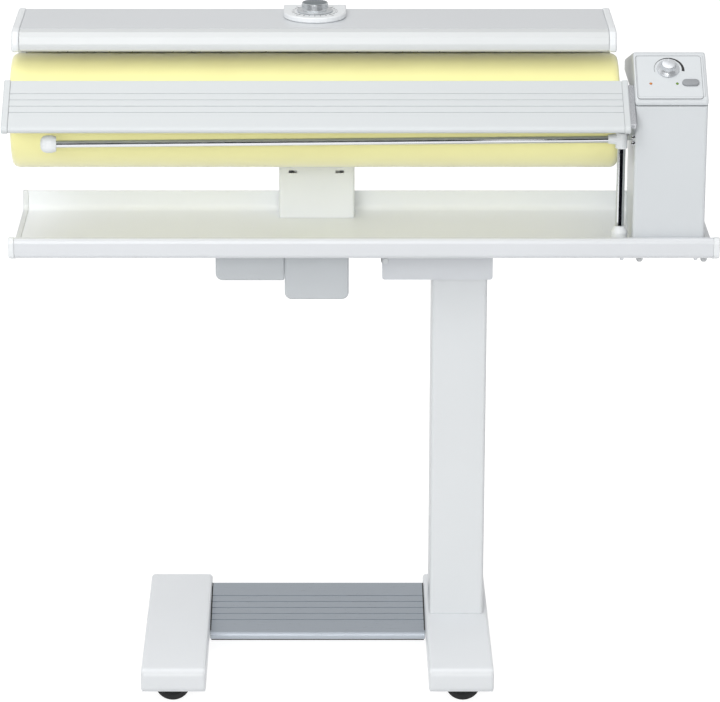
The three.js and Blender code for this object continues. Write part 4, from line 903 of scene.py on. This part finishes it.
def screw_head(place, across, up, radius, height):
    """A domed head with a dark cross of painted shade, standing on its local plane."""
    matrix = local(place, across, up)
    dome = [(0, HEAD_LIFT), (radius, HEAD_LIFT), (radius, height * 0.35),
            (radius * 0.9, height * 0.75), (radius * 0.6, height), (0, height)]
    cross = [pushed("arm", rounded(*size, radius * 0.08, 2), height - CROSS_SUNK,
                    height + CROSS_PROUD, matrix)
             for size in ((radius * 1.1, radius * 0.3), (radius * 0.3, radius * 1.1))]
    return revolved("head", dome, matrix, HEAD_SIDES), cross


def screws(name, spots, across, up, radius, height, finish, body="unit"):
    """The heads as one piece and their crosses of painted shade as another."""
    heads, crosses = [], []
    for place in spots:
        head, cross = screw_head(place, across, up, radius, height)
        heads.append(baked(head, 40))
        crosses += cross
    made(name, joined(name, heads), finish, body)
    made(name + "_recess_shade", joined(name + "_recess_shade", crosses), BLACK, body)
    print(name + ":", len(spots))


TRAY_UNDERSIDE, TRAY_ROW = 645, -95      # Z, and Y of the heads under the tray
BRACKET_X, BRACKET_FACE = 370.4, -152.3  # X and Y of the heads on the bracket
DOWN = dict(across=(1, 0, 0), up=(0, -1, 0))
FRONT = dict(across=(1, 0, 0), up=(0, 0, 1))
screws("tray_small_screws", [(x, TRAY_ROW, TRAY_UNDERSIDE) for x in (363.5, 466.8)],
       **DOWN, radius=3.2, height=6.2, finish=SATIN)
screws("housing_bolts", [(x, TRAY_ROW, TRAY_UNDERSIDE) for x in (388.3, 478.2)],
       **DOWN, radius=5, height=8.2, finish=STEEL)
screws("bracket_screws", [(BRACKET_X, BRACKET_FACE, z) for z in (831, 822.6)],
       **FRONT, radius=2.9, height=1.8, finish=SATIN)
screws("lift_cover_screw", [(-60.6, -32, 624.6)], **FRONT, radius=2.2, height=0.9, finish=STEEL)

# %% [markdown]
# ## Ends of the treadle
# The photo shows a dark line at each end of the treadle and under its front edge: shade in the gap
# to each foot and under the front bead, with nothing else there to be seen. What makes them on the
# real one can't be seen. A stripe of paint would vanish from the side, so each end gets a thin
# black cheek of painted shade: the treadle's own side outline, a hair larger, pushed out by less
# than the gap to the foot. A narrow black lip of painted shade runs under the front edge. All of it
# moves with the treadle.

# %% Treadle cheeks
TREADLE_ENDS = (-221.2, 96.2)          # X
TREADLE_REAR = (155.5, 55)             # Y and Z of the top's rear edge
TREADLE_SLOPE = math.radians(11)
END_SHADE, END_SHADE_PROUD = 1.5, 0.35         # thickness, and how far it stands out
LIP_INSET = 1.4                        # the lip's end to the treadle's end


def along_treadle(run, rise):
    """Y and Z of a point so far down the slope and so far above the tread."""
    return (TREADLE_REAR[0] - run * math.cos(TREADLE_SLOPE) - rise * math.sin(TREADLE_SLOPE),
            TREADLE_REAR[1] - run * math.sin(TREADLE_SLOPE) + rise * math.cos(TREADLE_SLOPE))


# Painted shade: black plates in the gaps at the treadle's ends.
end_shade_outline = [along_treadle(*spot) for spot in (
    (1, -7), (1, 0.3), (128, 0.3), (134, -0.4), (137.6, -3), (138.4, -6.5), (136.6, -10.2),
    (132.5, -12.4), (128, -11.6), (125.5, -8.5), (122, -6.6))]
side_frame = local((0, 0, 0), across=(0, 1, 0), up=(0, 0, 1))
end_shades = [pushed("cheek", end_shade_outline, start, start + END_SHADE, side_frame)
          for start in (TREADLE_ENDS[0] - END_SHADE_PROUD, TREADLE_ENDS[1] + END_SHADE_PROUD - END_SHADE)]
made("treadle_end_shades", joined("treadle_end_shades", end_shades), BLACK, "treadle")
# Painted shade: a black strip under the front bead.
lip_shade_outline = [along_treadle(*spot) for spot in
               ((133, -11.9), (137.6, -9.8), (138.6, -10.6), (137.4, -13), (133, -13.9))]
lip = pushed("treadle_lip_shade", lip_shade_outline, TREADLE_ENDS[0] + LIP_INSET,
             TREADLE_ENDS[1] - LIP_INSET, side_frame)
made("treadle_lip_shade", lip, BLACK, "treadle")
print("treadle cheeks:", len(end_shades), "and a lip")

# %% [markdown]
# ## Floor
# The machine stands on white with only a faint shadow under it. A floor lit to pure white would
# throw so much light up that the undersides lose their shade. So the floor looks white to the
# camera, to mirrors and through glass, by a glow with a little diffuse shade on top, while for the
# light that bounces it is an ordinary pale floor.

# %% Floor
FLOOR_GLOW, FLOOR_SHADE = 0.9, 0.3
FLOOR_HALF, FLOOR_PARTS = 14, 8       # metres each way, and faces along a side


def floor_finish():
    """White to the eye, pale to bounced light."""
    finish = Finish("pale_floor", srgb(222, 223, 224), 0.9)
    finish.tone(finish.noise(0.4), 0.01)
    path = finish.add("ShaderNodeLightPath")
    seen = finish.add("ShaderNodeMath", operation="MAXIMUM")
    finish.link(path.outputs["Is Camera Ray"], seen.inputs[0])
    finish.link(path.outputs["Is Glossy Ray"], seen.inputs[1])
    also = finish.add("ShaderNodeMath", operation="MAXIMUM")
    finish.link(seen.outputs[0], also.inputs[0])
    finish.link(path.outputs["Is Transmission Ray"], also.inputs[1])
    glow = finish.add("ShaderNodeEmission")
    glow.inputs["Strength"].default_value = FLOOR_GLOW
    dim = finish.add("ShaderNodeBsdfDiffuse")
    dim.inputs["Color"].default_value = (FLOOR_SHADE, FLOOR_SHADE, FLOOR_SHADE, 1)
    white = finish.add("ShaderNodeAddShader")
    finish.link(glow.outputs[0], white.inputs[0])
    finish.link(dim.outputs[0], white.inputs[1])
    mix = finish.add("ShaderNodeMixShader")
    finish.link(also.outputs[0], mix.inputs[0])
    finish.link(finish.shader.outputs[0], mix.inputs[1])
    finish.link(white.outputs[0], mix.inputs[2])
    finish.link(mix.outputs[0], finish.tree.nodes["Material Output"].inputs["Surface"])
    return finish.material


floor_shape = bmesh.new()
bmesh.ops.create_grid(floor_shape, x_segments=FLOOR_PARTS, y_segments=FLOOR_PARTS,
                      size=FLOOR_HALF)
floor_mesh = meshed("floor", floor_shape, Matrix.Identity(4))
floor_mesh.materials.append(floor_finish())
floor = bpy.data.objects.new("floor", floor_mesh)
bpy.context.scene.collection.objects.link(floor)
print("floor:", 2 * FLOOR_HALF, "metres square")

# %% [markdown]
# ## Sky
# Even light from all round fills the shadows, as the walls of a white studio do. One strength can't
# serve everything: the backdrop has to be pure white, bright metal wants a bright room to mirror,
# and pale paint turns flat if the fill is strong. The light path tells the three apart.

# %% Sky
SKY_LIGHT = 0.46       # what lights the surfaces
SKY_MIRROR = 0.64      # what mirrors show
SKY_BACKDROP = 1.0     # what the camera sees
world = bpy.data.worlds.new("studio")
world.use_nodes = True
bpy.context.scene.world = world
sky, sky_link = world.node_tree.nodes, world.node_tree.links.new


def sky_of(color, strength, node=None):
    """A background shader of a colour and a strength."""
    node = node or sky.new("ShaderNodeBackground")
    node.inputs["Color"].default_value = (*color, 1)
    node.inputs["Strength"].default_value = strength
    return node


def either(ray, without, with_ray):
    """Shows one shader to rays of a kind and another to the rest."""
    mix = sky.new("ShaderNodeMixShader")
    sky_link(path.outputs[ray], mix.inputs[0])
    sky_link(without.outputs[0], mix.inputs[1])
    sky_link(with_ray.outputs[0], mix.inputs[2])
    return mix


path = sky.new("ShaderNodeLightPath")
soft_sky = sky_of((1.0, 0.995, 0.985), SKY_LIGHT, sky["Background"])
unseen = either("Is Glossy Ray", soft_sky, sky_of((1, 1, 1), SKY_MIRROR))
whole_sky = either("Is Camera Ray", unseen, sky_of((1, 1, 1), SKY_BACKDROP))
sky_link(whole_sky.outputs[0], sky["World Output"].inputs["Surface"])
print("sky:", SKY_LIGHT, SKY_MIRROR, SKY_BACKDROP)

# %% [markdown]
# ## Lamps
# Four broad lamps stand in front and above, a little to the left, and make the soft shading of the
# photo. Small lamps would draw hard shadows and bright spots. A fifth lights the back, so that the
# machine can be looked at from behind. It is kept out of mirror rays, because from the front it
# would glare on the top of the shoe cover.

# %% Lamps
def lamp(name, place, aim, size, power):
    """A rectangular lamp at a place, turned towards its aim. Metres and watts."""
    data = bpy.data.lights.new(name, "AREA")
    data.shape = "RECTANGLE"
    data.size, data.size_y = size
    data.energy = power
    obj = bpy.data.objects.new(name, data)
    obj.location = place
    obj.rotation_euler = (Vector(aim) - Vector(place)).to_track_quat("-Z", "Y").to_euler()
    bpy.context.scene.collection.objects.link(obj)
    return obj


lamp("low_front", (-1.2, -6.6, 1.0), (0, 0, 0.6), (4.2, 1.6), 22)
lamp("middle_front", (-1.2, -6.4, 2.6), (0, 0, 0.8), (4.0, 1.2), 125)
lamp("high_front", (-1.3, -4.0, 3.4), (0, 0, 0.6), (3.4, 2.2), 66)
lamp("top", (-0.5, -0.6, 3.6), (0, 0, 0.5), (3.6, 2.6), 34)
rear = lamp("rear", (0.8, 5.0, 2.2), (0, 0, 0.7), (3.4, 1.6), 40)
rear.visible_glossy = False
print("lamps:", len(bpy.data.lights))

# %% [markdown]
# ## Black flags
# Chrome shows only what stands round it, and the rail in the photo has dark stripes between light
# edges. Painting stripes on the tube would look wrong as soon as it turns. In a studio, black cards
# beside the camera make them. These cards exist for mirror rays alone: they throw no shadow, light
# nothing and stay out of the picture.

# %% Flags
FLAG_Y = -1350                    # millimetres, like all the places of the flags
FLAG_LOW, FLAG_HIGH = 60, 2300
black_card = bpy.data.materials.new("black_card")
black_card.use_nodes = True
card_shader = black_card.node_tree.nodes["Principled BSDF"]
card_shader.inputs["Base Color"].default_value = (0.004, 0.004, 0.008, 1)
card_shader.inputs["Specular IOR Level"].default_value = 0.0


def flag(name, left, right):
    """An upright black card that only mirror rays meet."""
    card = bmesh.new()
    corners = [card.verts.new((x, FLAG_Y, z)) for x, z in
               ((left, FLAG_LOW), (right, FLAG_LOW), (right, FLAG_HIGH), (left, FLAG_HIGH))]
    card.faces.new(corners)
    mesh = meshed(name, card, Matrix.Scale(MM, 4))
    mesh.materials.append(black_card)
    obj = bpy.data.objects.new(name, mesh)
    bpy.context.scene.collection.objects.link(obj)
    obj.visible_camera = obj.visible_diffuse = obj.visible_shadow = False
    obj.visible_transmission = obj.visible_volume_scatter = False


FLAGS = (("left_flag", -4200, 300), ("right_flag", 410, 4200))
for name, left, right in FLAGS:
    flag(name, left, right)
print("flags:", len(FLAGS))
